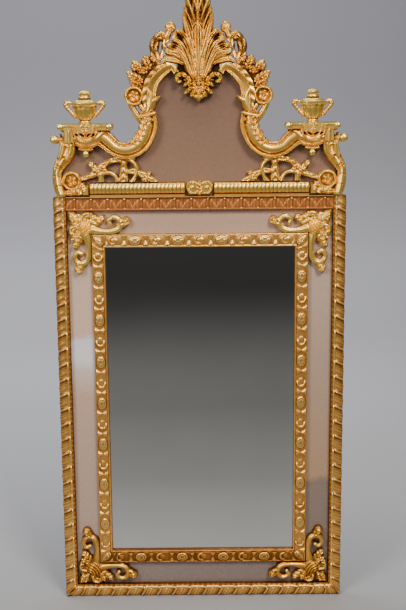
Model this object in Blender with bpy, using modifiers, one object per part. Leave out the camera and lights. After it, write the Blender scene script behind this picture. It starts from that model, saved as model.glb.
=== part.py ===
"""Carved and gilt wall mirror: a plate inside border glasses, with a pierced and carved crest.

The frame is as the wall sees it: X to the right, Z up, the back plane at y = 0 and the front towards -Y.
The origin is the wall fixing, on the back of the top rail's centre line.
"""
import bmesh
import bpy
import numpy as np
from mathutils import Matrix, Vector

for thing in list(bpy.data.objects):
    bpy.data.objects.remove(thing, do_unlink=True)

# Driving dimensions, in metres
FRAME_WIDTH = 0.84
FRAME_HEIGHT = 1.22
CREST_HEIGHT = 0.56
OUTER_WIDTH = 0.038
FRIEZE_WIDTH = 0.038
BORDER_WIDTH = 0.070
INNER_WIDTH = 0.038
BOARD_THICKNESS = 0.012
BORDER_GLASS_THICKNESS = 0.004
MAIN_GLASS_THICKNESS = 0.006
GAP = 0.0003

# Heights of the mouldings above the board, and the length of one repeat of their ornament
OUTER_RISE = 0.031
FRIEZE_RISE = 0.028
INNER_RISE = 0.026
OUTER_PITCH = 0.046
FRIEZE_PITCH = 0.047
INNER_PITCH = 0.065

# The border glass at each side is in two lengths: how far below the frame's top they meet
LEFT_JOIN_DROP = 0.414
RIGHT_JOIN_DROP = 0.869

# The crest's reeded rail
RAIL_WIDTH = 0.040
RAIL_RISE = 0.024
REED_PITCH = 0.020

# The carving: its wall at the edge, the clearance between two carvings, and how far each form rises
WALL = 0.008
CARVING_CLEARANCE = 0.0022
ARM_RISE = 0.034
ARCH_RISE = 0.032
PLINTH_RISE = 0.035
CORNICE_RISE = 0.040
SHELL_RISE = 0.046
FOLIAGE_RISE = 0.027
TENDRIL_RISE = 0.022
CORNER_RISE = 0.022
URN_HEIGHT = 0.092
URN_DEPTH_SHARE = 0.8
HANDLE_RADIUS = 0.004

# The carvings are drawn on sheets, which are then fitted to the real sizes: half the crest's width by its
# height, the border's width for the corner mounts, and the rail's width for its clasp
SHEET_HALF = 420
SHEET_HEIGHT = 560
CORNER_SHEET_BORDER = 70
CLASP_SHEET_RAIL = 40

# The mesh of the carvings, in drawing units: the spacing of its grid, how far past its outline a form still
# gives its height, and the field of each drawing in x and z. Then the triangles that each piece keeps.
GRID_STEP = 4
EDGE_REACH = 0.5
SIDE_FIELD = ((48, 432), (0, 500))
SHELL_FIELD = ((-100, 100), (252, 572))
CLASP_FIELD = ((-48, 48), (0, 52))
CORNER_FIELD = ((0, 192), (0, 192))
SIDE_TRIANGLES = 1420
SHELL_TRIANGLES = 880
CORNER_TRIANGLES = 270
CLASP_TRIANGLES = 150

# Places worked out from the sizes above
HALF = FRAME_WIDTH / 2
TOP = FRIEZE_WIDTH / 2
BOTTOM = TOP - FRAME_HEIGHT
BOARD_BED = BOARD_THICKNESS + GAP
GLASS_BED = BOARD_BED + BORDER_GLASS_THICKNESS + GAP
BORDER_LEFT = -HALF + OUTER_WIDTH
BORDER_TOP = TOP - FRIEZE_WIDTH
BORDER_BOTTOM = BOTTOM + OUTER_WIDTH
INNER_LEFT = BORDER_LEFT + BORDER_WIDTH
INNER_TOP = BORDER_TOP - BORDER_WIDTH
INNER_BOTTOM = BORDER_BOTTOM + BORDER_WIDTH
SIGHT_LEFT = INNER_LEFT + INNER_WIDTH
SIGHT_TOP = INNER_TOP - INNER_WIDTH
SIGHT_BOTTOM = INNER_BOTTOM + INNER_WIDTH

mirror_parts = bpy.data.collections.new("wall_mirror")
bpy.context.scene.collection.children.link(mirror_parts)


def material(name, color, roughness, metallic):
    """A plain Principled material."""
    made = bpy.data.materials.new(name)
    made.use_nodes = True
    shader = made.node_tree.nodes["Principled BSDF"]
    shader.inputs["Base Color"].default_value = (*color, 1.0)
    shader.inputs["Roughness"].default_value = roughness
    shader.inputs["Metallic"].default_value = metallic
    return made


GILDING = material("gilding", (0.70, 0.42, 0.13), 0.38, 0.85)
FRIEZE_GILDING = material("frieze_gilding", (0.55, 0.24, 0.07), 0.45, 0.75)
MIRROR_PLATE = material("mirror_plate", (0.62, 0.63, 0.63), 0.03, 1.0)
BORDER_PLATE = material("border_plate", (0.42, 0.33, 0.27), 0.12, 0.6)
BACK_WOOD = material("back_wood", (0.20, 0.12, 0.07), 0.8, 0.0)


def finished(name, mesh, finish, smooth_angle=None):
    """Links the mesh as a named part with its material."""
    part = bpy.data.objects.new(name, mesh)
    mesh.materials.clear()
    mesh.materials.append(finish)
    if smooth_angle is not None:
        mesh.shade_smooth()
        mesh.set_sharp_from_angle(angle=smooth_angle)
    mirror_parts.objects.link(part)
    return part


def mesh_of(name, points, faces):
    """A mesh from points and faces, with its faces turned outwards."""
    shape = bmesh.new()
    corners = [shape.verts.new(point) for point in points]
    for face in faces:
        shape.faces.new([corners[index] for index in face])
    bmesh.ops.recalc_face_normals(shape, faces=shape.faces)
    mesh = bpy.data.meshes.new(name)
    shape.to_mesh(mesh)
    shape.free()
    return mesh


# Boards and plates

def box_part(name, x_range, z_range, bed, thickness, finish):
    """A flat board or plate whose back lies at the given depth in front of the back plane."""
    shape = bmesh.new()
    bmesh.ops.create_cube(shape, size=1.0)
    size = Vector((x_range[1] - x_range[0], thickness, z_range[1] - z_range[0]))
    middle = Vector((sum(x_range) / 2, -bed - thickness / 2, sum(z_range) / 2))
    bmesh.ops.transform(shape, matrix=Matrix.Translation(middle) @ Matrix.Diagonal(size.to_4d()), verts=shape.verts)
    mesh = bpy.data.meshes.new(name)
    shape.to_mesh(mesh)
    shape.free()
    return finished(name, mesh, finish)


# Carved rails

def leaf_outline(share):
    """Outer moulding: (distance across, height) round its section, fullest in the middle of each leaf."""
    full = np.sin(np.pi * share)
    return [
        (0.0, 0.0),
        (0.003 * (1 - full), 0.45 * OUTER_RISE),
        (0.22 * OUTER_WIDTH, OUTER_RISE * (0.74 + 0.22 * full)),
        (0.52 * OUTER_WIDTH, OUTER_RISE * (0.80 + 0.20 * full)),
        (0.74 * OUTER_WIDTH, 0.55 * OUTER_RISE),
        (OUTER_WIDTH, 0.60 * OUTER_RISE),
        (OUTER_WIDTH, 0.0),
    ]


def frieze_outline(share):
    """Top rail: upright leaves, whose tips lean out at the upper edge."""
    full = np.sin(np.pi * share)
    return [
        (0.0, 0.0),
        (0.0, FRIEZE_RISE * (0.72 + 0.26 * full)),
        (0.18 * FRIEZE_WIDTH, FRIEZE_RISE * (0.74 + 0.26 * full)),
        (0.50 * FRIEZE_WIDTH, FRIEZE_RISE * (0.58 + 0.16 * full)),
        (FRIEZE_WIDTH, 0.64 * FRIEZE_RISE),
        (FRIEZE_WIDTH, 0.0),
    ]


def flower_outline(share):
    """Inner moulding: a rounded band of flowers and crossed clasps, and a plain sight edge."""
    full = abs(np.cos(np.pi * share))
    return [
        (0.0, 0.0),
        (0.0, 0.50 * INNER_RISE),
        (0.30 * INNER_WIDTH, INNER_RISE * (0.78 + 0.22 * full)),
        (0.70 * INNER_WIDTH, INNER_RISE * (0.62 + 0.06 * full)),
        (INNER_WIDTH, 0.48 * INNER_RISE),
        (INNER_WIDTH, 0.0),
    ]


def reed_outline(share):
    """Crest rail: a fillet below and a reeded half round, bound at each repeat."""
    full = np.sin(np.pi * share)
    return [
        (0.0, 0.0),
        (0.0, 0.55 * RAIL_RISE),
        (0.25 * RAIL_WIDTH, 0.55 * RAIL_RISE),
        (0.58 * RAIL_WIDTH, RAIL_RISE * (0.82 + 0.18 * full)),
        (RAIL_WIDTH, RAIL_RISE * (0.50 + 0.12 * full)),
        (RAIL_WIDTH, 0.0),
    ]


def carved_rail(name, start, along, inward, length, pitch, outline, mitres, finish, bed=BOARD_BED):
    """Lofts a moulding from sections that change along each repeat.

    start is its outer corner, mitres are 1 where an end is cut at 45 degrees and 0 where it is square.
    """
    repeats = max(1, round(length / pitch))
    stations = 2 * repeats
    mitre_zone = 1.5 * max(across for across, rise in outline(0))
    points = []
    for station in range(stations + 1):
        travelled = length * station / stations
        section = outline((station / 2) % 1.0)
        for across, rise in section:
            lean_in = mitres[0] * max(0.0, 1 - travelled / mitre_zone)
            lean_back = mitres[1] * max(0.0, 1 - (length - travelled) / mitre_zone)
            run = travelled + (across + GAP) * (lean_in - lean_back)
            x, z = np.array(start) + run * np.array(along) + across * np.array(inward)
            points.append((x, -bed - rise, z))
    count = len(section)
    faces = [list(range(count)), list(range(stations * count, (stations + 1) * count))]
    for station in range(stations):
        for corner in range(count):
            following = (corner + 1) % count
            near = station * count
            far = near + count
            faces.append((near + corner, near + following, far + following, far + corner))
    return finished(name, mesh_of(name, points, faces), finish, np.radians(35))


# Carving in relief: each form gives, for points of its drawing, how far inside its outline they lie and how
# high, in metres, its surface stands there. Forms are joined by taking the highest.

def smooth_path(points, steps=6):
    """A smooth curve through the points, with any width column carried along it."""
    given = np.array(points, float)
    framed = np.vstack([2 * given[0] - given[1], given, 2 * given[-1] - given[-2]])
    curve = []
    for index in range(len(given) - 1):
        before, here, after, beyond = framed[index:index + 4]
        for t in np.arange(steps) / steps:
            bend = 2 * before - 5 * here + 4 * after - beyond
            twist = 3 * here - before - 3 * after + beyond
            curve.append(here + 0.5 * ((after - before) * t + bend * t ** 2 + twist * t ** 3))
    curve.append(given[-1])
    return np.array(curve)


def follow(curve, x, z):
    """For each point: distance to the curve, side, share of its length, and the curve's half width there."""
    nearest = np.full(x.shape, np.inf)
    side = np.ones(x.shape)
    share = np.zeros(x.shape)
    width = np.zeros(x.shape)
    runs = np.hypot(*np.diff(curve[:, :2], axis=0).T)
    total = runs.sum()
    travelled = 0.0
    for (x0, z0, w0), (x1, z1, w1), run in zip(curve[:-1], curve[1:], runs):
        dx = x1 - x0
        dz = z1 - z0
        part = np.clip(((x - x0) * dx + (z - z0) * dz) / (run * run), 0, 1)
        off_x = x - x0 - part * dx
        off_z = z - z0 - part * dz
        distance = np.hypot(off_x, off_z)
        closer = distance < nearest
        nearest = np.where(closer, distance, nearest)
        side = np.where(closer, np.sign(dx * off_z - dz * off_x), side)
        share = np.where(closer, (travelled + part * run) / total, share)
        width = np.where(closer, w0 + part * (w1 - w0), width)
        travelled += run
    return nearest, side, share, width


def plain(across, share):
    """A rounded section."""
    return np.sqrt(np.clip(1 - across ** 2, 0, 1))


def fluted(across, share):
    """A rounded section with hollow flutes running along it."""
    return plain(across, share) * (0.86 + 0.14 * np.cos(4 * np.pi * across))


def banded(across, share):
    """A hollow between two rounded edges."""
    return 0.52 + 0.44 * np.cos(2.6 * (np.abs(across) - 0.78)) ** 6


def veined(across, share):
    """A leaf, with a sunk vein along its middle."""
    return plain(across, share) * (1 - 0.28 * np.exp(-(across / 0.16) ** 2))


def husked(count):
    """Overlapping husks, each rising to its tip."""
    def section(across, share):
        step = (count * share - 0.35 * across ** 2) % 1.0
        return plain(across, share) * (0.72 + 0.28 * step)
    return section


class Sheet:
    """Where a drawing goes: its origin, and the metres to a drawing unit along each axis."""

    def __init__(self, origin, x_scale, z_scale):
        self.origin = np.array(origin)
        self.scales = np.array((x_scale, z_scale))
        self.clearance = CARVING_CLEARANCE / min(x_scale, z_scale)

    def place(self, points):
        return self.origin + np.array(points, float)[:, :2] * self.scales


def stroke(points, rise, section=plain, lobes=0):
    """A tapering limb along points given as (x, z, half width)."""
    curve = smooth_path(points)

    def form(x, z):
        distance, side, share, width = follow(curve, x, z)
        if lobes:
            width = width * (0.80 + 0.20 * np.abs(np.sin(np.pi * lobes * share)))
        across = np.clip(side * distance / width, -1, 1)
        return width - distance, WALL + (rise - WALL) * section(across, share)
    return form


def rosette(x_middle, z_middle, radius, rise, petals=8):
    """A flower: petals round a boss."""
    def form(x, z):
        distance = np.hypot(x - x_middle, z - z_middle)
        angle = np.arctan2(z - z_middle, x - x_middle)
        petal = np.abs(np.cos(petals / 2 * angle))
        rim = radius * (0.85 + 0.15 * petal)
        out = np.clip(distance / rim, 0, 1)
        bowl = np.where(out < 0.3, 1 - out, 0.62 + 0.38 * np.sin(np.pi * (out - 0.3) / 0.7) * petal)
        return rim - distance, WALL + (rise - WALL) * bowl * np.sqrt(1 - out ** 4)
    return form


def ring(x_middle, z_middle, radius, rise):
    """A volute's round rim with a flower in its eye."""
    flower = rosette(x_middle, z_middle, 0.62 * radius, 0.85 * rise, 6)

    def form(x, z):
        distance = np.hypot(x - x_middle, z - z_middle)
        out = np.clip(distance / radius, 0, 1)
        rim = np.sqrt(np.clip(1 - ((out - 0.80) / 0.20) ** 2, 0, 1))
        height = WALL + (rise - WALL) * np.maximum(rim, 0.25)
        inside, petals = flower(x, z)
        return radius - distance, np.where(inside > 0, np.maximum(height, petals), height)
    return form


def block(x_range, z_range, rise, ease=3):
    """A flat block with eased edges."""
    def form(x, z):
        edge = np.minimum(np.minimum(x - x_range[0], x_range[1] - x), np.minimum(z - z_range[0], z_range[1] - z))
        return edge, WALL + (rise - WALL) * np.clip(edge / ease, 0, 1) ** 0.5
    return form


def carved(forms, x, z):
    """Joins forms: the edge distance and the height of the highest at each point."""
    edge = np.full(x.shape, -np.inf)
    height = np.full(x.shape, WALL)
    for form in forms:
        inside, rise = form(x, z)
        edge = np.maximum(edge, inside)
        height = np.where(inside > -EDGE_REACH, np.maximum(height, rise), height)
    return edge, height


def relief_mesh(name, surface, sheet, field, bed):
    """Cuts the carving out of a grid along its outline and closes it with walls and a flat back."""
    columns, rows = [np.arange(low, high + GRID_STEP, GRID_STEP) for low, high in field]
    grid_x, grid_z = [axis.ravel() for axis in np.meshgrid(columns, rows)]
    edge, height = surface(grid_x, grid_z)
    kept = edge > 0
    points = []
    number = {}

    def grid_corner(index):
        if index not in number:
            number[index] = len(points)
            points.append((grid_x[index], grid_z[index], height[index]))
        return number[index]

    crossings = []

    def crossing(inner, outer):
        if (inner, outer) not in number:
            share = np.clip(edge[inner] / (edge[inner] - edge[outer]), 0.1, 0.9)
            x = grid_x[inner] + share * (grid_x[outer] - grid_x[inner])
            z = grid_z[inner] + share * (grid_z[outer] - grid_z[inner])
            number[inner, outer] = len(points)
            crossings.append(len(points))
            points.append((x, z, WALL))
        return number[inner, outer]

    faces = []
    width = len(columns)
    for row in range(len(rows) - 1):
        for column in range(width - 1):
            near = row * width + column
            square = (near, near + 1, near + width + 1, near + width)
            if not kept[list(square)].any():
                continue
            for triangle in ((square[0], square[1], square[2]), (square[0], square[2], square[3])):
                state = [kept[index] for index in triangle]
                if all(state):
                    faces.append([grid_corner(index) for index in triangle])
                elif sum(state) == 1:
                    turn = state.index(True)
                    inner, after, before = [triangle[(turn + step) % 3] for step in range(3)]
                    faces.append([grid_corner(inner), crossing(inner, after), crossing(inner, before)])
                elif sum(state) == 2:
                    turn = state.index(False)
                    outer, after, before = [triangle[(turn + step) % 3] for step in range(3)]
                    near_after = crossing(after, outer)
                    near_before = crossing(before, outer)
                    faces.append([grid_corner(after), grid_corner(before), near_before])
                    faces.append([grid_corner(after), near_before, near_after])
    front = np.array(points)
    cut_edge, cut_height = surface(front[crossings, 0], front[crossings, 1])
    front[crossings, 2] = cut_height
    faces = largest_patch(np.array(faces), len(front))
    used, faces = np.unique(faces, return_inverse=True)
    front = np.column_stack([sheet.place(front), front[:, 2]])[used]
    return closed_relief(name, front, faces.reshape(-1, 3), bed)


def largest_patch(faces, count):
    """Keeps the faces of the largest connected patch."""
    label = np.arange(count)
    while True:
        lowest = label[faces].min(axis=1)
        merged = label.copy()
        for corner in range(3):
            np.minimum.at(merged, faces[:, corner], lowest)
        if np.array_equal(merged, label):
            break
        label = merged
    patch = label[faces[:, 0]]
    return faces[patch == np.bincount(patch).argmax()]


def closed_relief(name, front, faces, bed):
    """Front surface, flat back, and walls between the two along the outline."""
    count = len(front)
    points = [(x, -bed - height, z) for x, z, height in front]
    points += [(x, -bed, z) for x, z, height in front]
    sides = np.concatenate([faces[:, [0, 1]], faces[:, [1, 2]], faces[:, [2, 0]]])
    paired = {(a, b) for a, b in sides.tolist()}
    walls = [(a, a + count, b + count, b) for a, b in sides.tolist() if (b, a) not in paired]
    backs = [(c + count, b + count, a + count) for a, b, c in faces.tolist()]
    return mesh_of(name, points, faces.tolist() + backs + walls)


def carved_part(name, surface, sheet, field, triangles):
    """A carved piece over the glass, with no more triangles than its main forms need."""
    mesh = relief_mesh(name, surface, sheet, field, GLASS_BED)
    part = finished(name, mesh, GILDING, np.radians(50))
    mesh.calc_loop_triangles()
    thin = part.modifiers.new("fewer_triangles", "DECIMATE")
    thin.ratio = min(1.0, triangles / len(mesh.loop_triangles))
    return part


# The crest, drawn for its right half: x from the centre line, z from the frame's top edge

ARM = [(284, 172, 24), (262, 158, 24), (236, 136, 22), (207, 130, 23), (181, 137, 23), (162, 151, 24),
       (149, 173, 25), (142, 198, 27), (144, 222, 26)]
ARCH = [(142, 222, 20), (141, 240, 15), (143, 260, 16), (141, 285, 16), (137, 313, 17), (120, 338, 17),
        (97, 352, 14), (74, 361, 12)]
HERM = [(368, 143, 21), (378, 120, 20), (393, 94, 17), (402, 70, 15), (401, 44, 16), (396, 18, 15), (392, 8, 14)]
URN_X = 320
PLINTH_X = (250, 382)
PLINTH_Z = (140, 206)
RAIL_END = 312
CLASP_HALF = 40
ROSETTE = (363, 46, 28)


def crest_sheet():
    return Sheet((0, TOP), HALF / SHEET_HALF, CREST_HEIGHT / SHEET_HEIGHT)


def plinth_forms():
    """The plinth under the urn: block, cornice, and a shield with a double moulding."""
    def bow(half_width, drop):
        return [(URN_X + half_width * np.sin(turn), PLINTH_Z[1] - 2 - drop * np.cos(turn), 4)
                for turn in np.linspace(-1.5, 1.5, 7)]
    return [
        stroke([(272, 180, 14), (290, 166, 22), (318, 161, 26), (346, 166, 22)], PLINTH_RISE),
        block((346, PLINTH_X[1]), (PLINTH_Z[0] + 9, 192), PLINTH_RISE),
        block((287, 353), (180, PLINTH_Z[1]), PLINTH_RISE),
        block((244, 292), (186, PLINTH_Z[1]), CORNICE_RISE),
        block((350, 396), (186, PLINTH_Z[1]), CORNICE_RISE),
        stroke(bow(36, 49), CORNICE_RISE),
        stroke(bow(24, 37), CORNICE_RISE),
        stroke([(URN_X, 200, 12), (URN_X, 188, 11), (URN_X, 176, 4)], CORNICE_RISE, veined),
        stroke([(URN_X - 12, 134, 6), (URN_X + 12, 134, 6)], TENDRIL_RISE),
        stroke([(URN_X, 132, 5), (URN_X, 122, 8)], TENDRIL_RISE),
        stroke([(378, 161, 8), (398, 161, 7)], FOLIAGE_RISE),
        stroke([(394, 153, 4), (394, 169, 4)], FOLIAGE_RISE),
        stroke([(408, 161, 10), (414, 161, 9)], FOLIAGE_RISE),
    ]


def arm_forms():
    """The scrolled arm: leafy body, calyx, hollow arch and the flowered volute."""
    return [
        stroke(ARM, ARM_RISE, fluted),
        stroke(ARCH, ARCH_RISE, banded),
        stroke([(124, 237, 4), (146, 229, 6), (170, 230, 5)], ARM_RISE + 0.003),
        stroke([(172, 222, 8), (178, 240, 6), (176, 258, 7)], FOLIAGE_RISE),
        stroke([(130, 261, 8), (116, 271, 2)], FOLIAGE_RISE),
        stroke([(162, 164, 9), (178, 179, 2)], FOLIAGE_RISE),
        stroke([(158, 150, 9), (147, 178, 13), (144, 206, 12)], ARM_RISE + 0.004, veined, 3),
        ring(181, 280, 26, ARCH_RISE),
    ]


def foliage_forms():
    """Flowers and leaves along the outer edge of the arch, and the open leaf scroll above it."""
    return [
        stroke([(165, 300, 20), (156, 338, 24), (134, 361, 24), (106, 377, 17)], FOLIAGE_RISE, veined, 4),
        rosette(184, 319, 18, FOLIAGE_RISE, 6),
        rosette(183, 350, 20, FOLIAGE_RISE, 5),
        rosette(165, 372, 18, FOLIAGE_RISE, 6),
        rosette(139, 381, 16, FOLIAGE_RISE, 5),
        stroke([(108, 372, 16), (120, 398, 12), (122, 426, 12), (112, 446, 14), (94, 446, 12)], FOLIAGE_RISE,
               veined, 4),
        stroke([(104, 376, 14), (92, 396, 10), (86, 420, 9), (84, 446, 9)], FOLIAGE_RISE, veined, 3),
        rosette(79, 467, 15, FOLIAGE_RISE, 5),
    ]


def herm_forms():
    """The outer support with overlapping husks, the rosette and the leaf scroll at its foot."""
    x, z, radius = ROSETTE
    return [
        stroke(HERM, ARCH_RISE, husked(8)),
        rosette(x, z, radius, FOLIAGE_RISE, 8),
        stroke([(394, 10, 9), (372, 13, 12), (346, 16, 14), (328, 20, 14), (322, 34, 9)], FOLIAGE_RISE, fluted),
    ]


def tendril_forms():
    """The leafy stem and open scrolls between the arm and the rail."""
    return [
        stroke([(214, 120, 11), (216, 95, 9), (217, 70, 10), (219, 40, 12)], TENDRIL_RISE, veined, 3),
        stroke([(192, 110, 7), (214, 114, 9), (232, 108, 7)], TENDRIL_RISE),
        stroke([(224, 100, 6), (246, 104, 6), (268, 93, 9), (286, 75, 10), (308, 58, 7), (338, 48, 6)],
               TENDRIL_RISE, veined),
        stroke([(226, 74, 5), (246, 75, 5), (247, 58, 5), (236, 42, 6)], TENDRIL_RISE),
        stroke([(288, 72, 8), (299, 84, 7), (308, 98, 3)], TENDRIL_RISE, veined),
        stroke([(274, 84, 7), (277, 58, 7), (279, 40, 8)], TENDRIL_RISE),
        stroke([(200, 106, 6), (184, 93, 5), (180, 76, 5), (187, 52, 6), (194, 38, 7)], TENDRIL_RISE),
        stroke([(212, 70, 8), (180, 69, 10), (154, 60, 10), (124, 40, 6)], TENDRIL_RISE, veined, 4),
        stroke([(158, 60, 6), (149, 82, 2)], TENDRIL_RISE),
    ]


def shell_forms():
    """The fluted shell, the plume over it and the leafy drop below."""
    forms = [
        stroke([(0, 330, 10), (0, 400, 22), (0, 462, 18)], SHELL_RISE, fluted),
        stroke([(0, 452, 12), (0, 510, 13), (0, 556, 4)], SHELL_RISE, veined),
        stroke([(-30, 335, 9), (0, 329, 11), (30, 335, 9)], SHELL_RISE),
        stroke([(0, 320, 37), (0, 300, 36), (0, 287, 31), (0, 277, 12)], ARCH_RISE, veined, 3),
        rosette(0, 470, 12, SHELL_RISE + 0.004, 5),
        rosette(0, 490, 10, SHELL_RISE + 0.004, 5),
    ]
    for side in (-1, 1):
        leaves = [
            ([(18, 336, 12), (36, 364, 17), (55, 387, 18), (72, 400, 11)], 0.90, fluted),
            ([(14, 336, 12), (28, 375, 20), (44, 408, 20), (58, 430, 12)], 0.95, fluted),
            ([(6, 336, 12), (14, 385, 20), (25, 428, 20), (38, 451, 11)], 1.00, fluted),
            ([(8, 440, 11), (24, 470, 13), (34, 503, 6)], 0.86, veined),
            ([(6, 460, 10), (16, 505, 11), (23, 536, 4)], 0.92, veined),
            ([(30, 334, 10), (55, 334, 9)], 0.62, plain),
            ([(22, 313, 15), (36, 291, 10)], 0.66, veined),
        ]
        for points, share, section in leaves:
            mirrored = [(side * x, z, width) for x, z, width in points]
            forms.append(stroke(mirrored, share * SHELL_RISE, section))
    return forms


def clasp_forms():
    """The clasp on the middle of the crest rail: a leaf between two scrolls."""
    forms = [
        block((-32, 32), (4, 40), RAIL_RISE),
        stroke([(0, 10, 9), (0, 26, 12), (0, 40, 5)], RAIL_RISE + 0.006, veined),
    ]
    for side in (-1, 1):
        scroll = [(side * x, z, 5) for x, z in ((12, 39), (27, 39), (34, 26), (27, 11), (12, 9))]
        forms.append(stroke(scroll, RAIL_RISE + 0.003))
    return forms


def make_crest_sides():
    """Both side carvings, kept clear of the shell, the rail and the frame below."""
    drawing = crest_sheet()
    shell = shell_forms()
    forms = plinth_forms() + arm_forms() + foliage_forms() + herm_forms() + tendril_forms()
    clear = drawing.clearance
    rail_top = RAIL_WIDTH / drawing.scales[1]
    plinth_inner = PLINTH_X[0] - 8

    def surface(x, z):
        edge, height = carved(forms, x, z)
        shell_edge = carved(shell, x, z)[0]
        edge = np.minimum(edge, -shell_edge - clear)
        edge = np.minimum(edge, np.maximum(PLINTH_Z[1] - z, plinth_inner - x))
        edge = np.minimum(edge, np.maximum(z - rail_top, x - RAIL_END) - clear)
        return np.minimum(edge, z - clear), height

    for side, name in ((1, "crest_side_right"), (-1, "crest_side_left")):
        part = carved_part(name, surface, drawing, SIDE_FIELD, SIDE_TRIANGLES)
        if side < 0:
            part.data.transform(Matrix.Scale(-1, 4, Vector((1, 0, 0))))
            part.data.flip_normals()


def make_shell_and_clasp():
    drawing = crest_sheet()
    shell = shell_forms()
    carved_part("shell_crown", lambda x, z: carved(shell, x, z), drawing, SHELL_FIELD, SHELL_TRIANGLES)
    clasp = clasp_forms()
    clasp_drawing = Sheet((0, TOP), HALF / SHEET_HALF, RAIL_WIDTH / CLASP_SHEET_RAIL)
    carved_part("rail_clasp", lambda x, z: carved(clasp, x, z), clasp_drawing, CLASP_FIELD, CLASP_TRIANGLES)


def make_crest_rails():
    """The two lengths of reeded rail, between the clasp and the rosettes."""
    x_scale = HALF / SHEET_HALF
    inner = CLASP_HALF * x_scale + CARVING_CLEARANCE
    outer = RAIL_END * x_scale
    for side, name in ((1, "crest_rail_right"), (-1, "crest_rail_left")):
        carved_rail(name, (side * inner, TOP + GAP), (side, 0), (0, 1), outer - inner, REED_PITCH, reed_outline,
                    (0, 0), GILDING, GLASS_BED)


def crest_outline():
    """Outline of the crest's board and glass, under the middle of the herms, plinths, arms and arches."""
    drawing = crest_sheet()
    herm = smooth_path(drawing.place(HERM), 2)[::-1]
    plinth = drawing.place([(362, 160), (276, 160)])
    arm = smooth_path(drawing.place(ARM), 2)
    arch = smooth_path(drawing.place(ARCH), 2)
    half = np.vstack([herm, plinth, arm[1:-2], arch[2:]])
    half[:, 1] = np.maximum(half[:, 1], TOP + GAP)
    foot = np.array([[half[0, 0], TOP + GAP]])
    half = np.vstack([foot, half[half[:, 1] > TOP + 2 * GAP]])
    return np.vstack([half, (half * (-1, 1))[::-1]])


def shaped_plate(name, bed, thickness, finish):
    """A flat plate cut to the crest's outline."""
    outline = crest_outline()
    count = len(outline)
    points = [(x, -bed, z) for x, z in outline] + [(x, -bed - thickness, z) for x, z in outline]
    faces = [tuple(range(count)), tuple(range(2 * count - 1, count - 1, -1))]
    for corner in range(count):
        following = (corner + 1) % count
        faces.append((corner, following, following + count, corner + count))
    return finished(name, mesh_of(name, points, faces), finish)


# Urns

def urn_profile():
    """Height and radius up the urn, from its foot to its knob, in shares of its height."""
    return [(0.0, 0.17), (0.05, 0.19), (0.09, 0.15), (0.12, 0.20), (0.30, 0.31), (0.50, 0.37), (0.53, 0.41),
            (0.61, 0.41), (0.64, 0.32), (0.69, 0.30), (0.72, 0.17), (0.78, 0.19), (0.82, 0.15), (0.90, 0.19),
            (0.96, 0.12), (1.0, 0.0)]


def urn_mesh(name):
    """Turned body with two scroll handles joined to it."""
    steps = 12
    shape = bmesh.new()
    rings = [(height * URN_HEIGHT, radius * URN_HEIGHT) for height, radius in urn_profile()]
    corners = [shape.verts.new((radius, 0, height)) for height, radius in rings[::-1]]
    foot = shape.verts.new((0, 0, 0))
    corners.append(foot)
    for above, below in zip(corners[:-1], corners[1:]):
        shape.edges.new((above, below))
    profile = bpy.data.meshes.new(name + "_profile")
    shape.to_mesh(profile)
    shape.free()
    body = bpy.data.objects.new(name + "_body", profile)
    bpy.context.scene.collection.objects.link(body)
    turn = body.modifiers.new("turn", "SCREW")
    turn.steps = steps
    turn.render_steps = steps
    turn.use_merge_vertices = True
    turn.merge_threshold = 0.00001
    for side in (-1, 1):
        handle = handle_object(name, side)
        join = body.modifiers.new("handle", "BOOLEAN")
        join.operation = "UNION"
        join.object = handle
    bpy.context.view_layer.update()
    evaluated = body.evaluated_get(bpy.context.evaluated_depsgraph_get())
    mesh = bpy.data.meshes.new_from_object(evaluated)
    for modifier in list(body.modifiers):
        if modifier.type == "BOOLEAN":
            bpy.data.objects.remove(modifier.object, do_unlink=True)
    bpy.data.objects.remove(body, do_unlink=True)
    return mesh


def handle_object(name, side):
    """One scroll handle, as a closed mesh: from the rim out, and down to the foot of the bowl."""
    path = [(0.37, 0.57), (0.53, 0.66), (0.63, 0.58), (0.55, 0.42), (0.38, 0.26), (0.20, 0.20)]
    route = smooth_path([(side * x, z) for x, z in path], 2) * URN_HEIGHT
    curve = bpy.data.curves.new(name + "_handle", "CURVE")
    curve.dimensions = "3D"
    curve.bevel_depth = HANDLE_RADIUS
    curve.bevel_resolution = 1
    curve.use_fill_caps = True
    spline = curve.splines.new("POLY")
    spline.points.add(len(route) - 1)
    for point, (x, z) in zip(spline.points, route):
        point.co = (x, 0, z, 1)
    guide = bpy.data.objects.new(name + "_handle_curve", curve)
    bpy.context.scene.collection.objects.link(guide)
    bpy.context.view_layer.update()
    mesh = bpy.data.meshes.new_from_object(guide.evaluated_get(bpy.context.evaluated_depsgraph_get()))
    shape = bmesh.new()
    shape.from_mesh(mesh)
    bmesh.ops.remove_doubles(shape, verts=shape.verts, dist=0.00001)
    bmesh.ops.recalc_face_normals(shape, faces=shape.faces)
    shape.to_mesh(mesh)
    shape.free()
    bpy.data.objects.remove(guide, do_unlink=True)
    handle = bpy.data.objects.new(name + "_handle", mesh)
    handle.hide_render = True
    handle.display_type = "WIRE"
    bpy.context.scene.collection.objects.link(handle)
    return handle


def make_urns():
    """The urns, flattened towards the wall, each standing on its plinth."""
    x, z = crest_sheet().place([(URN_X, PLINTH_Z[1])])[0]
    axis_y = -GLASS_BED - 0.45 * CORNICE_RISE
    for side, name in ((1, "urn_right"), (-1, "urn_left")):
        mesh = urn_mesh(name)
        mesh.transform(Matrix.Diagonal((1, URN_DEPTH_SHARE, 1, 1)))
        urn = finished(name, mesh, GILDING, np.radians(40))
        urn.location = (side * x, axis_y, z + GAP)


# Corner mounts

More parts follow.
